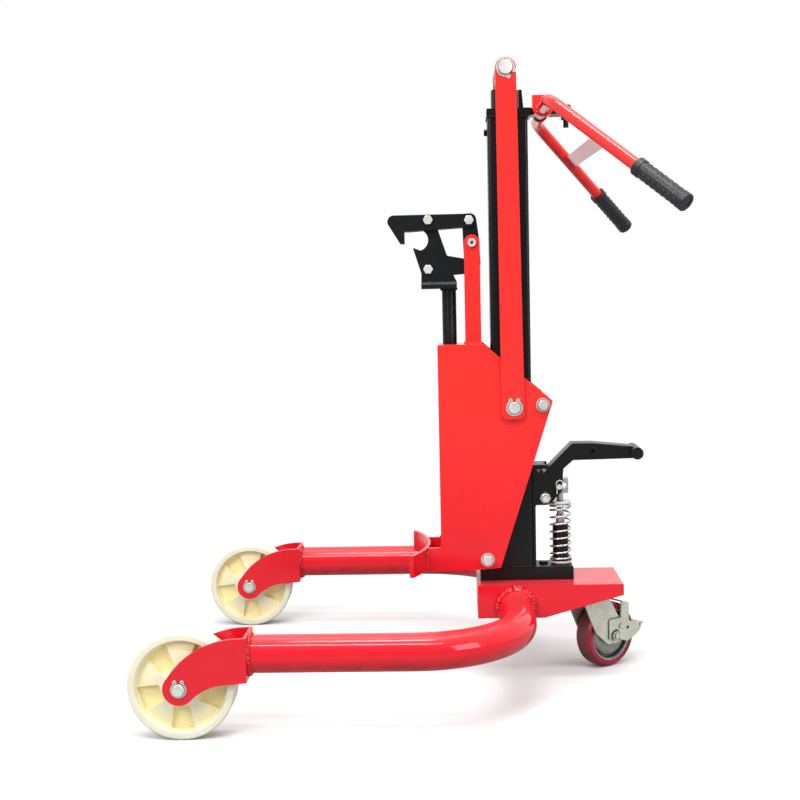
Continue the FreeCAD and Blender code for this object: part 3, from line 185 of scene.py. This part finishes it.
class NodeMaker:
    """Adds shader nodes to one material with short calls."""

    # Sockets of a Mix node that take and give colours
    SHARE = 0
    FIRST_COLOR = 6
    SECOND_COLOR = 7
    MIXED_COLOR = 2

    # How far the rounded normal has to lean away before a place counts as an edge
    EDGE_STARTS = 0.02
    EDGE_FULL = 0.25

    def __init__(self, material):
        self.tree = material.node_tree
        self.shader = self.tree.nodes["Principled BSDF"]
        self.place = self.add("ShaderNodeTexCoord").outputs["Object"]

    def add(self, kind, **settings):
        node = self.tree.nodes.new(kind)
        for key, value in settings.items():
            setattr(node, key, value)
        return node

    def link(self, value, socket):
        """Connects an output, or sets a plain number or colour."""
        if isinstance(value, bpy.types.NodeSocket):
            self.tree.links.new(value, socket)
        elif isinstance(value, tuple) and len(value) == 3 and socket.type == "RGBA":
            socket.default_value = (*value, 1.0)
        else:
            socket.default_value = value

    def math(self, operation, first, second=0.0):
        node = self.add("ShaderNodeMath", operation=operation)
        self.link(first, node.inputs[0])
        self.link(second, node.inputs[1])
        return node.outputs[0]

    def noise(self, scale, detail=2.0, roughness=0.5, place=None):
        """Cloudy noise in the object's own coordinates, or at another place."""
        node = self.add("ShaderNodeTexNoise")
        self.link(self.place if place is None else place, node.inputs["Vector"])
        node.inputs["Scale"].default_value = scale
        node.inputs["Detail"].default_value = detail
        node.inputs["Roughness"].default_value = roughness
        return node.outputs["Fac"]

    def spread(self, value, low, high, to_low=0.0, to_high=1.0):
        """Maps low..high smoothly onto to_low..to_high."""
        node = self.add("ShaderNodeMapRange", interpolation_type="SMOOTHSTEP")
        self.link(value, node.inputs["Value"])
        node.inputs["From Min"].default_value = low
        node.inputs["From Max"].default_value = high
        node.inputs["To Min"].default_value = to_low
        node.inputs["To Max"].default_value = to_high
        return node.outputs["Result"]

    def mix(self, share, first, second):
        node = self.add("ShaderNodeMix", data_type="RGBA")
        self.link(share, node.inputs[self.SHARE])
        self.link(first, node.inputs[self.FIRST_COLOR])
        self.link(second, node.inputs[self.SECOND_COLOR])
        return node.outputs[self.MIXED_COLOR]

    def part_of(self, vector, axis):
        node = self.add("ShaderNodeSeparateXYZ")
        self.link(vector, node.inputs[0])
        return node.outputs[axis]

    def scaled(self, factors):
        """The object's coordinates stretched by a factor on each axis."""
        node = self.add("ShaderNodeMapping")
        self.link(self.place, node.inputs["Vector"])
        node.inputs["Scale"].default_value = factors
        return node.outputs["Vector"]

    def surface_normal(self):
        return self.add("ShaderNodeNewGeometry").outputs["Normal"]

    def soft_edge(self, radius):
        """The surface normal with sharp edges rounded off."""
        bevel = self.add("ShaderNodeBevel", samples=4)
        bevel.inputs["Radius"].default_value = radius
        return bevel.outputs["Normal"]

    def edges(self, radius):
        """1 along sharp edges and 0 on open faces."""
        dot = self.add("ShaderNodeVectorMath", operation="DOT_PRODUCT")
        self.link(self.soft_edge(radius), dot.inputs[0])
        self.link(self.surface_normal(), dot.inputs[1])
        lean = self.math("SUBTRACT", 1.0, dot.outputs["Value"])
        return self.spread(lean, self.EDGE_STARTS, self.EDGE_FULL)

    def upward(self):
        """1 on faces that look straight up, 0 on walls and -1 on undersides."""
        return self.part_of(self.surface_normal(), "Z")

    def crevice(self, reach, closed=0.35, open_face=0.85):
        """1 in tight corners and close beside other parts, 0 on open faces."""
        node = self.add("ShaderNodeAmbientOcclusion", samples=6)
        node.inputs["Distance"].default_value = reach
        return self.spread(node.outputs["AO"], closed, open_face, 1.0, 0.0)

    def bump(self, height, strength, distance, base=None):
        node = self.add("ShaderNodeBump")
        self.link(height, node.inputs["Height"])
        node.inputs["Strength"].default_value = strength
        node.inputs["Distance"].default_value = distance
        if base is not None:
            self.link(base, node.inputs["Normal"])
        return node.outputs["Normal"]

    def base(self, color, roughness, metallic=0.0, normal=None):
        """Connects the main inputs of the surface shader."""
        self.link(color, self.shader.inputs["Base Color"])
        self.link(roughness, self.shader.inputs["Roughness"])
        self.link(metallic, self.shader.inputs["Metallic"])
        if normal is not None:
            self.link(normal, self.shader.inputs["Normal"])


def new_material(name):
    material = bpy.data.materials.new(name)
    material.use_nodes = True
    return material, NodeMaker(material)


def make_paint(name, low, high, worn, dust_and_sheen, gloss, dust_and_sheen_share, peel, mirror):
    """Powder coat: orange peel, faint patches, worn edges, dust and a painted sheen on top, painted shade with
    splashes underneath, and painted shade in corners.

    The coat leans from one tone near the floor to another higher up: painted shade low down and painted light
    higher up.
    """
    material, nodes = new_material(name)
    facing = nodes.upward()
    # Painted light and shade by height: the floor tone low down, the upper tone higher up, as the light falls.
    painted_height_light = nodes.spread(nodes.part_of(nodes.place, "Z"), 0.15, 0.55)
    patches = nodes.spread(nodes.noise(9.0, 4.0, 0.6), 0.3, 0.7, 0.0, 0.14)
    color = nodes.mix(patches, nodes.mix(painted_height_light, low, high), tuple(0.4 * value for value in low))
    scuffs = nodes.math("MULTIPLY", nodes.edges(0.8 * MM), nodes.spread(nodes.noise(70.0, 3.0), 0.48, 0.66))
    color = nodes.mix(nodes.math("MULTIPLY", scuffs, 0.5), color, worn)
    grains = nodes.spread(nodes.noise(900.0, 3.0, 0.7), 0.35, 0.75)
    # Upward faces turn towards a pale tone that is partly dust and partly a painted sheen of the light from above.
    upward_dust_and_sheen = nodes.spread(facing, 0.55, 0.98)
    dust_and_sheen_film = nodes.math("MULTIPLY", upward_dust_and_sheen, nodes.spread(grains, 0.0, 1.0, 0.6, 1.0))
    color = nodes.mix(nodes.math("MULTIPLY", dust_and_sheen_film, dust_and_sheen_share), color, dust_and_sheen)
    # A deep tone of the coat for painted shade, with some grime, underneath and in corners.
    shade_and_grime = tuple(0.35 * value for value in low)
    # Painted shade on undersides, mottled by splashes.
    underside_shade = nodes.spread(facing, -0.7, -0.02, 1.0, 0.0)
    mottled_shade = nodes.spread(nodes.noise(38.0, 5.0, 0.65), 0.35, 0.65, 0.15, 0.55)
    color = nodes.mix(nodes.math("MULTIPLY", underside_shade, mottled_shade), color, shade_and_grime)
    # Painted shade in tight corners and close beside other parts.
    color = nodes.mix(nodes.math("MULTIPLY", nodes.crevice(3.5 * MM), 0.5), color, shade_and_grime)
    orange_peel = nodes.noise(420.0, 2.0)
    normal = nodes.bump(orange_peel, peel, 0.1 * MM, nodes.soft_edge(0.5 * MM))
    smears = nodes.spread(nodes.noise(26.0, 4.0, 0.65), 0.3, 0.75, gloss, gloss + 0.08)
    roughness = nodes.math("ADD", smears, nodes.math("MULTIPLY", dust_and_sheen_film, 0.06))
    nodes.base(color, roughness, normal=normal)
    nodes.shader.inputs["Specular IOR Level"].default_value = mirror
    return material


def make_metal(name, color, shade, roughness, grain, grain_scale=(1, 1, 1), stain=None, metallic=0.92,
               dull=None):
    """Bare or plated metal: cloudy colour, fine grain along one direction, and stains.

    A dull tone is what the castor's plating has turned to, down by the floor.
    """
    material, nodes = new_material(name)
    clouds = nodes.spread(nodes.noise(36.0, 5.0, 0.65), 0.3, 0.7)
    body = nodes.mix(clouds, shade, color)
    if dull is not None:
        behind = nodes.spread(nodes.part_of(nodes.place, "X"), 250 * MM, 280 * MM)
        low = nodes.spread(nodes.part_of(nodes.place, "Z"), 150 * MM, 170 * MM, 1.0, 0.0)
        tarnish = nodes.mix(clouds, tuple(0.8 * value for value in dull), dull)
        body = nodes.mix(nodes.math("MULTIPLY", behind, low), body, tarnish)
    if stain is not None:
        spots = nodes.spread(nodes.noise(110.0, 4.0, 0.7), 0.56, 0.74, 0.0, 0.5)
        body = nodes.mix(spots, body, stain)
    # Painted shade in crevices and close beside other parts.
    shade_and_grime = tuple(0.12 * value for value in shade)
    body = nodes.mix(nodes.math("MULTIPLY", nodes.crevice(5.0 * MM, 0.5, 0.96), 0.9), body, shade_and_grime)
    lines = nodes.noise(900.0, 2.0, place=nodes.scaled(grain_scale))
    finish = nodes.spread(lines, 0.25, 0.75, roughness - 0.07, roughness + 0.12)
    normal = nodes.bump(lines, grain, 0.05 * MM, nodes.soft_edge(0.4 * MM))
    nodes.base(body, finish, metallic=metallic, normal=normal)
    return material


def make_nylon():
    """Cast nylon: milky cream, yellower down in the recesses as painted shade and bounce light, grey scuffs on the
    tread.
    """
    recess_floor = 8 * MM
    recess_mouth = 23 * MM
    rim_inside = 84 * MM
    rim_middle = 87 * MM
    tread_starts = 86.5 * MM
    tread_full = 88.5 * MM
    material, nodes = new_material("cast_nylon")
    low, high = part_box("wheel_left")
    axle = 0.5 * (low + high)
    x = nodes.math("SUBTRACT", nodes.part_of(nodes.place, "X"), axle.x)
    z = nodes.math("SUBTRACT", nodes.part_of(nodes.place, "Z"), axle.z)
    out = nodes.math("SQRT", nodes.math("ADD", nodes.math("MULTIPLY", x, x), nodes.math("MULTIPLY", z, z)))
    aside = nodes.math("ABSOLUTE", nodes.part_of(nodes.place, "Y"))
    depth = nodes.math("ABSOLUTE", nodes.math("SUBTRACT", aside, abs(axle.y)))
    clouds = nodes.spread(nodes.noise(16.0, 4.0, 0.6), 0.3, 0.7)
    color = nodes.mix(clouds, (0.74, 0.72, 0.56), (0.80, 0.79, 0.66))
    # Painted shade and bounce light: deep in the recesses, inside the rim, the nylon turns a deeper yellow.
    painted_recess_light = nodes.spread(depth, recess_floor, recess_mouth, 1.0, 0.0)
    inside = nodes.spread(out, rim_inside, rim_middle, 1.0, 0.0)
    color = nodes.mix(nodes.math("MULTIPLY", painted_recess_light, inside), color, (0.93, 0.82, 0.44))
    tread = nodes.spread(out, tread_starts, tread_full)
    scuffs = nodes.spread(nodes.noise(60.0, 5.0, 0.7), 0.45, 0.72, 0.05, 0.34)
    color = nodes.mix(nodes.math("MULTIPLY", tread, scuffs), color, (0.50, 0.47, 0.40))
    normal = nodes.bump(nodes.noise(300.0, 3.0), 0.25, 0.1 * MM, nodes.soft_edge(1.2 * MM))
    nodes.base(color, nodes.spread(nodes.noise(45.0, 3.0), 0.3, 0.7, 0.34, 0.48), normal=normal)
    nodes.shader.inputs["Specular IOR Level"].default_value = 0.35
    nodes.shader.inputs["Subsurface Weight"].default_value = 0.25
    nodes.shader.inputs["Subsurface Radius"].default_value = (1.0, 0.8, 0.45)
    nodes.shader.inputs["Subsurface Scale"].default_value = 0.005
    return material


def make_tread():
    """Dark red cast polyurethane, with floor dirt worked into the running face."""
    face_flat = 10.5 * MM
    face_edge = 15.5 * MM
    shoulder = 57 * MM
    crown = 60.5 * MM
    material, nodes = new_material("castor_polyurethane")
    clouds = nodes.spread(nodes.noise(30.0, 4.0), 0.3, 0.7)
    color = nodes.mix(clouds, (0.24, 0.004, 0.022), (0.36, 0.008, 0.04))
    low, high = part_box("castor_tyre")
    axle = 0.5 * (low + high)
    shifted = nodes.add("ShaderNodeVectorMath", operation="SUBTRACT")
    nodes.link(nodes.place, shifted.inputs[0])
    shifted.inputs[1].default_value = axle
    along = nodes.add("ShaderNodeVectorMath", operation="DOT_PRODUCT")
    nodes.link(shifted.outputs[0], along.inputs[0])
    along.inputs[1].default_value = Vector(joint_called("castor_wheel_spin")["axis"])
    distance = nodes.add("ShaderNodeVectorMath", operation="LENGTH")
    nodes.link(shifted.outputs[0], distance.inputs[0])
    beside = nodes.math("ABSOLUTE", along.outputs["Value"])
    across_face = nodes.spread(beside, face_flat, face_edge, 1.0, 0.0)
    running = nodes.math("MULTIPLY", across_face, nodes.spread(distance.outputs["Value"], shoulder, crown))
    grit = nodes.spread(nodes.noise(90.0, 5.0, 0.7), 0.3, 0.7, 0.45, 0.9)
    color = nodes.mix(nodes.math("MULTIPLY", running, grit), color, (0.14, 0.07, 0.07))
    roughness = nodes.math("ADD", nodes.math("MULTIPLY", running, 0.25), 0.32)
    normal = nodes.bump(nodes.noise(380.0, 4.0), 0.3, 0.15 * MM, nodes.soft_edge(1.0 * MM))
    nodes.base(color, roughness, normal=normal)
    return material


def make_rubber():
    """Moulded rubber: matt charcoal with a fine grain, a painted sheen along edges and high spots, and painted
    shade in crevices.
    """
    material, nodes = new_material("grip_rubber")
    clouds = nodes.spread(nodes.noise(50.0, 4.0), 0.3, 0.7)
    color = nodes.mix(clouds, (0.008, 0.009, 0.010), (0.014, 0.016, 0.018))
    # A painted sheen: edges and high spots are lightened as if polished.
    color = nodes.mix(nodes.math("MULTIPLY", nodes.edges(0.4 * MM), 0.35), color, (0.06, 0.065, 0.07))
    # Painted shade in the crevices between the ribs and close beside other parts.
    color = nodes.mix(nodes.math("MULTIPLY", nodes.crevice(2.0 * MM), 0.8), color, (0.002, 0.002, 0.002))
    roughness = nodes.spread(nodes.noise(120.0, 3.0), 0.3, 0.7, 0.32, 0.42)
    normal = nodes.bump(nodes.noise(1300.0, 2.0), 0.03, 0.05 * MM)
    nodes.base(color, roughness, normal=normal)
    nodes.shader.inputs["Specular IOR Level"].default_value = 0.4
    return material


def joint_called(name):
    return next(joint for joint in frame["joints"] if joint["name"] == name)


def make_materials():
    """One finish for each material slot of the record, and one for the spring."""
    return {
        "red_paint": make_paint(
            "red_powder_coat", low=(0.72, 0.009, 0.021), high=(0.88, 0.026, 0.021), worn=(0.90, 0.16, 0.14),
            dust_and_sheen=(0.85, 0.30, 0.27), gloss=0.07, dust_and_sheen_share=0.14, peel=0.06, mirror=0.45),
        "black_paint": make_paint(
            "black_powder_coat", low=(0.0070, 0.0070, 0.0070), high=(0.0060, 0.0065, 0.0075),
            worn=(0.05, 0.05, 0.05), dust_and_sheen=(0.07, 0.07, 0.07), gloss=0.24, dust_and_sheen_share=0.25, peel=0.3,
            mirror=0.28),
        "black_oxide": make_metal(
            "oiled_black_oxide", color=(0.030, 0.030, 0.033), shade=(0.012, 0.012, 0.014),
            roughness=0.34, grain=0.25, grain_scale=(1, 1, 0.05)),
        "zinc": make_metal(
            "zinc_plate", color=(0.88, 0.89, 0.86), shade=(0.66, 0.67, 0.63), roughness=0.26, grain=0.25,
            stain=(0.26, 0.24, 0.20), metallic=0.5, dull=(0.74, 0.76, 0.64)),
        "machined_steel": make_metal(
            "machined_steel", color=(0.70, 0.70, 0.70), shade=(0.48, 0.48, 0.48), roughness=0.22, grain=0.3,
            grain_scale=(0.1, 1, 1)),
        "dark_steel": make_metal(
            "drawn_tube", color=(0.12, 0.12, 0.125), shade=(0.07, 0.07, 0.075), roughness=0.38, grain=0.3,
            grain_scale=(1, 1, 0.04)),
        "spring_steel": make_metal(
            "plated_spring_wire", color=(0.80, 0.80, 0.80), shade=(0.62, 0.62, 0.62), roughness=0.20,
            grain=0.15),
        "chrome_rod": make_metal(
            "ground_chrome", color=(0.85, 0.85, 0.86), shade=(0.80, 0.80, 0.81), roughness=0.10, grain=0.05,
            grain_scale=(1, 1, 0.1)),
        "castor_core": make_metal(
            "die_cast_alloy", color=(0.42, 0.43, 0.40), shade=(0.28, 0.29, 0.27), roughness=0.42, grain=0.35,
            stain=(0.12, 0.11, 0.10)),
        "nylon": make_nylon(),
        "castor_tread": make_tread(),
        "grip_rubber": make_rubber(),
    }


def paint_frame(materials):
    """Gives every CAD node the finish that the record names for it."""
    for part in frame["record"]["subparts"]:
        mesh = NODES[part["node"]].data
        for index in range(len(mesh.materials)):
            mesh.materials[index] = materials[part["material_slot"]]


# ---------------------------------------------------------------- mesh helpers

def add_piece(name, mesh, body, slot, materials):
    """Puts a mesh in the scene as a piece that rides one body."""
    mesh.materials.clear()
    mesh.materials.append(materials[slot])
    for face in mesh.polygons:
        face.use_smooth = True
    piece = bpy.data.objects.new(name, mesh)
    bpy.context.scene.collection.objects.link(piece)
    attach(piece, body)
    return piece


def sweep(name, points, radii, sides, closed):
    """A solid round rod through the points, with one radius for each; a closed one is a ring."""
    build = bmesh.new()
    rings = []
    count = len(points)
    normal = None
    for index, point in enumerate(points):
        if closed:
            ahead = points[(index + 1) % count] - points[index - 1]
        else:
            ahead = points[min(index + 1, count - 1)] - points[max(index - 1, 0)]
        ahead = ahead.normalized()
        if normal is None:
            normal = ahead.orthogonal().normalized()
        normal = (normal - ahead * normal.dot(ahead)).normalized()
        binormal = ahead.cross(normal)
        ring = []
        for step in range(sides):
            angle = 2 * math.pi * step / sides
            offset = math.cos(angle) * normal + math.sin(angle) * binormal
            ring.append(build.verts.new(point + radii[index] * offset))
        rings.append(ring)
    pairs = count if closed else count - 1
    for index in range(pairs):
        near, far = rings[index], rings[(index + 1) % count]
        shift = 0
        if closed and index == count - 1:
            gaps = [(near[0].co - far[step].co).length for step in range(sides)]
            shift = gaps.index(min(gaps))
        for step in range(sides):
            after = (step + 1) % sides
            far_edge = (far[(after + shift) % sides], far[(step + shift) % sides])
            build.faces.new((near[step], near[after], *far_edge))
    if not closed:
        build.faces.new(list(reversed(rings[0])))
        build.faces.new(rings[-1])
    bmesh.ops.recalc_face_normals(build, faces=build.faces)
    mesh = bpy.data.meshes.new(name)
    build.to_mesh(mesh)
    build.free()
    return mesh


def join_rods(name, rods, sides):
    """One mesh of several rods, each given as its points and its radii."""
    build = bmesh.new()
    for points, radii in rods:
        rod = sweep("rod", points, radii, sides, closed=False)
        build.from_mesh(rod)
        bpy.data.meshes.remove(rod)
    mesh = bpy.data.meshes.new(name)
    build.to_mesh(mesh)
    build.free()
    return mesh


def evenly(points, gap, closed):
    """The same line with points about one gap apart."""
    ends = points + [points[0]] if closed else points
    lengths = [(ends[index + 1] - ends[index]).length for index in range(len(ends) - 1)]
    total = sum(lengths)
    count = max(4, round(total / gap))
    result = []
    steps = count if closed else count + 1
    for step in range(steps):
        target = total * step / count
        index = 0
        while index < len(lengths) - 1 and target > lengths[index]:
            target -= lengths[index]
            index += 1
        share = min(1.0, target / lengths[index])
        result.append(ends[index].lerp(ends[index + 1], share))
    return result


def weld_mesh(name, points, size, closed, seed, axis=None, long=1.0):
    """A bead of overlapping dabs, each a little different, as a hand-laid weld is."""
    draw = random.Random(seed)
    steps = 6
    dab_length = 0.8 * size
    end_taper = 0.45
    line = evenly(points, dab_length / steps, closed)
    radii = []
    for index in range(len(line)):
        if index % steps == 0:
            lump = draw.uniform(0.84, 1.12)
            drift = Vector([draw.uniform(-0.12, 0.12) * size for direction in range(3)])
        swell = math.sin(math.pi * (index % steps + 0.5) / steps) ** 0.7
        radii.append(size * lump * (0.70 + 0.36 * swell))
        line[index] = line[index] + drift
    if not closed:
        for index in (0, -1):
            radii[index] *= end_taper
    mesh = sweep(name, line, radii, 12, closed)
    if axis is not None:
        stretch_along(mesh, line, Vector(axis), long)
    return mesh


def stretch_along(mesh, line, axis, long):
    """Draws the bead out along one axis, from its own centre line."""
    middle = sum((point.dot(axis) for point in line), 0.0) / len(line)
    for vertex in mesh.vertices:
        off = vertex.co.dot(axis) - middle
        vertex.co += axis * off * (long - 1.0)


def on_side(place, sign):
    """A place of the right-hand side, or its mirror image when the sign is -1."""
    return (place[0], sign * place[1], place[2])


def rectangle(front, back, first_side, second_side, height):
    """The four corners of a level rectangle, in order round it."""
    return [(front, first_side, height), (back, first_side, height),
            (back, second_side, height), (front, second_side, height)]


def circle(center, first, second, radius):
    """Points round a circle in the plane of two directions."""
    count = 72
    points = []
    for step in range(count):
        angle = 2 * math.pi * step / count
        out = math.cos(angle) * Vector(first) + math.sin(angle) * Vector(second)
        points.append(Vector(center) + radius * out)
    return points


# ---------------------------------------------------------------- welds

def add_bead(name, points, size, body, slot, materials, closed=False, axis=None, long=1.0):
    """One weld bead; sizes and points in millimetres. Its name and place seed its random draws."""
    line = [Vector(point) * MM for point in points]
    seed = len(name) + 7 * int(abs(line[0].y) * 1000)
    mesh = weld_mesh(name, line, size * MM, closed, seed, axis, long)
    add_piece(name, mesh, body, slot, materials)


def make_frame_welds(materials):
    """Beads of the fixed frame: legs, forks, mast, handle boss and brace."""
    for side, sign in SIDES:
        root = Vector(on_side(LEG_ROOT, sign))
        add_root_weld("weld_base_" + side, root, LEG_RADIUS, sign, materials)
        tip = circle(on_side(LEG_TIP, sign), (0, 1, 0), (0, 0, 1), LEG_RADIUS + 0.65)
        add_bead("weld_fork_" + side, tip, 4.2, "frame", "red_paint", materials, closed=True,
                 axis=(1, 0, 0), long=1.3)
        collar = circle(on_side(HANDLE_BOSS, sign), (1, 0, 0), (0, 0, 1), HANDLE_RADIUS + 0.8)
        add_bead("weld_boss_" + side, collar, 2.6, "frame", "red_paint", materials, closed=True)
    mast_ends = (("weld_mast_top", MAST_CAP_UNDERSIDE, 2.2), ("weld_mast_foot", MAST_FOOT_TOP, 2.0))
    for name, height, size in mast_ends:
        loop = rectangle(MAST_FRONT, MAST_BACK, -MAST_SIDE, MAST_SIDE, height)
        add_bead(name, loop, size, "frame", "black_paint", materials, closed=True)
    make_brace_welds(materials)


def add_root_weld(name, root, radius, sign, materials):
    """Thick dabs laid one over the next, each from the leg's tube down onto the base channel's wall."""
    first_angle = -34.0
    last_angle = 214.0
    draw = random.Random(40 + sign)
    dabs = []
    angle = first_angle
    while angle < last_angle:
        turn = math.radians(angle + draw.uniform(-2.5, 2.5))
        out = Vector((math.cos(turn), 0, math.sin(turn)))
        off = Vector((draw.uniform(-0.15, 0.15), sign, draw.uniform(-0.1, 0.1)))
        thick = draw.uniform(4.2, 5.6)
        reach = draw.uniform(4.5, 10.5)
        line = [root + out * (radius + 0.2) + off * draw.uniform(9.0, 12.0),
                root + out * (radius + 1.0) + off * 6.0,
                root + out * (radius + 3.0) + off * 2.5,
                root + out * (radius + reach) + off * 0.2]
        line = evenly([point * MM for point in line], 1.6 * MM, closed=False)
        count = len(line)
        swells = [math.sin(math.pi * (step + 0.8) / (count + 0.6)) ** 0.5 for step in range(count)]
        radii = [thick * MM * swell for swell in swells]
        dabs.append((line, radii))
        angle += draw.uniform(5.5, 10.5)
    add_piece(name, join_rods(name, dabs, 12), "frame", "red_paint", materials)


def make_brace_welds(materials):
    """Where the flat brace runs into each handle tube, found by walking along it from the tube's axis."""
    left_share = 0.407
    right_share = 0.359
    half_width = 13.5
    stride = 0.5
    skin = HANDLE_RADIUS + 0.4
    corner = Vector(HANDLE_CORNER)
    arm = Vector(HANDLE_END) - corner
    left = corner + arm * left_share
    left.y = -left.y
    right = corner + arm * right_share
    across = Vector((arm.x, 0, arm.z)).normalized()
    for name, near, far, sign in (("left", left, right, -1), ("right", right, left, 1)):
        heading = Vector(on_side(arm, sign)).normalized()
        foot = Vector(on_side(corner, sign))
        inward = (far - near).normalized()
        seam = []
        for share in (-1.0, -0.5, 0.0, 0.5, 1.0):
            point = near + across * half_width * share
            while (point - foot).cross(heading).length < skin or (point - near).dot(inward) < 0:
                point = point + inward * stride
            seam.append(point)
        add_bead("weld_brace_" + name, seam, 3.4, "frame", "red_paint", materials)


def make_carriage_welds(materials):
    """Beads that travel with the carriage, and the one under the gripper's collar."""
    saddle_seam = ((24, 58.4, 207), (23.6, 58.6, 227), (24, 58.4, 246.5))
    arm_seam = ((49.6, 52.5, 249.4), (49.6, 58, 249.4))
    strut_front = 103
    strut_back = 133
    strut_outside = 18.4
    strut_inside = 12.4
    strut_foot = 632.4
    collar_foot = (73.5, 0, 736.2)
    post_radius = 14.2
    for side, sign in SIDES:
        saddle = [on_side(point, sign) for point in saddle_seam]
        add_bead("weld_saddle_" + side, saddle, 3.4, "lift", "red_paint", materials)
        arm = [on_side(point, sign) for point in arm_seam]
        add_bead("weld_arm_" + side, arm, 3.0, "lift", "red_paint", materials)
        foot = rectangle(strut_front, strut_back, sign * strut_outside, sign * strut_inside, strut_foot)
        add_bead("weld_strut_" + side, foot, 2.8, "lift", "red_paint", materials, closed=True)
    post = circle(collar_foot, (1, 0, 0), (0, 1, 0), post_radius)
    add_bead("weld_collar", post, 2.4, "gripper", "black_oxide", materials, closed=True)


# ---------------------------------------------------------------- grips and pump

def make_grip_ribs(materials):
    """Short raised dashes in rows round each rubber grip, every second row shifted."""
    rows = 16
    row_radius = 13.6
    dashes_in_row = 7
    first_dash = 17.0
    pitch = 12.0
    places = (0.0, 0.7, 1.8, 6.2, 7.3, 8.0)
    radii = [value * MM for value in (0.6, 1.5, 1.9, 1.9, 1.5, 0.6)]
    arm = Vector(HANDLE_END) - Vector(HANDLE_CORNER)
    for side, sign in SIDES:
        end = Vector(on_side(HANDLE_END, sign)) * MM
        heading = Vector(on_side(arm, sign)).normalized()
        first = heading.orthogonal().normalized()
        second = heading.cross(first)
        dashes = []
        for row in range(rows):
            angle = 2 * math.pi * row / rows
            out = math.cos(angle) * first + math.sin(angle) * second
            for count in range(dashes_in_row):
                start = first_dash + pitch * count + (0.5 * pitch if row % 2 else 0.0)
                foot = end - heading * (GRIP_LENGTH - start) * MM + out * row_radius * MM
                dashes.append(([foot + heading * place * MM for place in places], radii))
        name = "grip_ribs_" + side
        add_piece(name, join_rods(name, dashes, 10), "frame", "grip_rubber", materials)


def make_pedal_hole_shade(materials):
    """A dark plug in the hole of the pedal lever's spacer, put there as painted shade down the hole."""
    line = [Vector((PEDAL_SPACER_X, y, PEDAL_SPACER_Z)) * MM for y in (-19.5, -19.0, 19.0, 19.5)]
    mesh = sweep("pedal_hole_shade", line, [value * MM for value in (2.6, 3.3, 3.3, 2.6)], 24, closed=False)
    add_piece("pedal_hole_shade", mesh, "pedal", "black_oxide", materials)


def make_spring(materials):
    """The return spring, as a coil of wire with a closed coil at each end, in place of the CAD spring, which is
    hidden.
    """
    coils = 9.0
    closed_coils = 1.0
    steps = 44
    low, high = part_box("return_spring")
    wire = SPRING_WIRE_RADIUS * MM
    middle = 0.5 * (low + high)
    coil = 0.5 * (high.x - low.x) - wire
    bottom = low.z + wire
    top = high.z - wire
    points = []
    for step in range(int(coils * steps) + 1):
        turns = step / steps
        angle = 2 * math.pi * turns
        share = spring_climb(turns, coils, closed_coils, wire / (top - bottom))
        height = bottom + (top - bottom) * share
        points.append(Vector((middle.x + coil * math.cos(angle), middle.y + coil * math.sin(angle), height)))
    mesh = sweep("spring_coil", points, [wire] * len(points), 14, closed=False)
    spring = add_piece("spring_coil", mesh, "frame", "spring_steel", materials)
    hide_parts("return_spring")
    return spring, low.z


def spring_climb(turns, coils, closed_coils, wire_share):
    """Share of the height reached after some turns: the end coils lie flat and the rest climb evenly."""
    flat = 2.0 * wire_share * closed_coils
    if turns < closed_coils:
        return flat * turns / closed_coils
    if turns > coils - closed_coils:
        return 1.0 - flat * (coils - turns) / closed_coils
    inner = (turns - closed_coils) / (coils - 2 * closed_coils)
    return flat + (1.0 - 2.0 * flat) * inner


def squash_spring(spring):
    """Gives the spring a mesh of its own; it is not squashed."""
    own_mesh(spring)


make_camera()
make_light()
make_floor()
finishes = make_materials()
paint_frame(finishes)
make_frame_welds(finishes)
make_carriage_welds(finishes)
make_grip_ribs(finishes)
make_pedal_hole_shade(finishes)
coil_spring, seat = make_spring(finishes)
squash_spring(coil_spring)
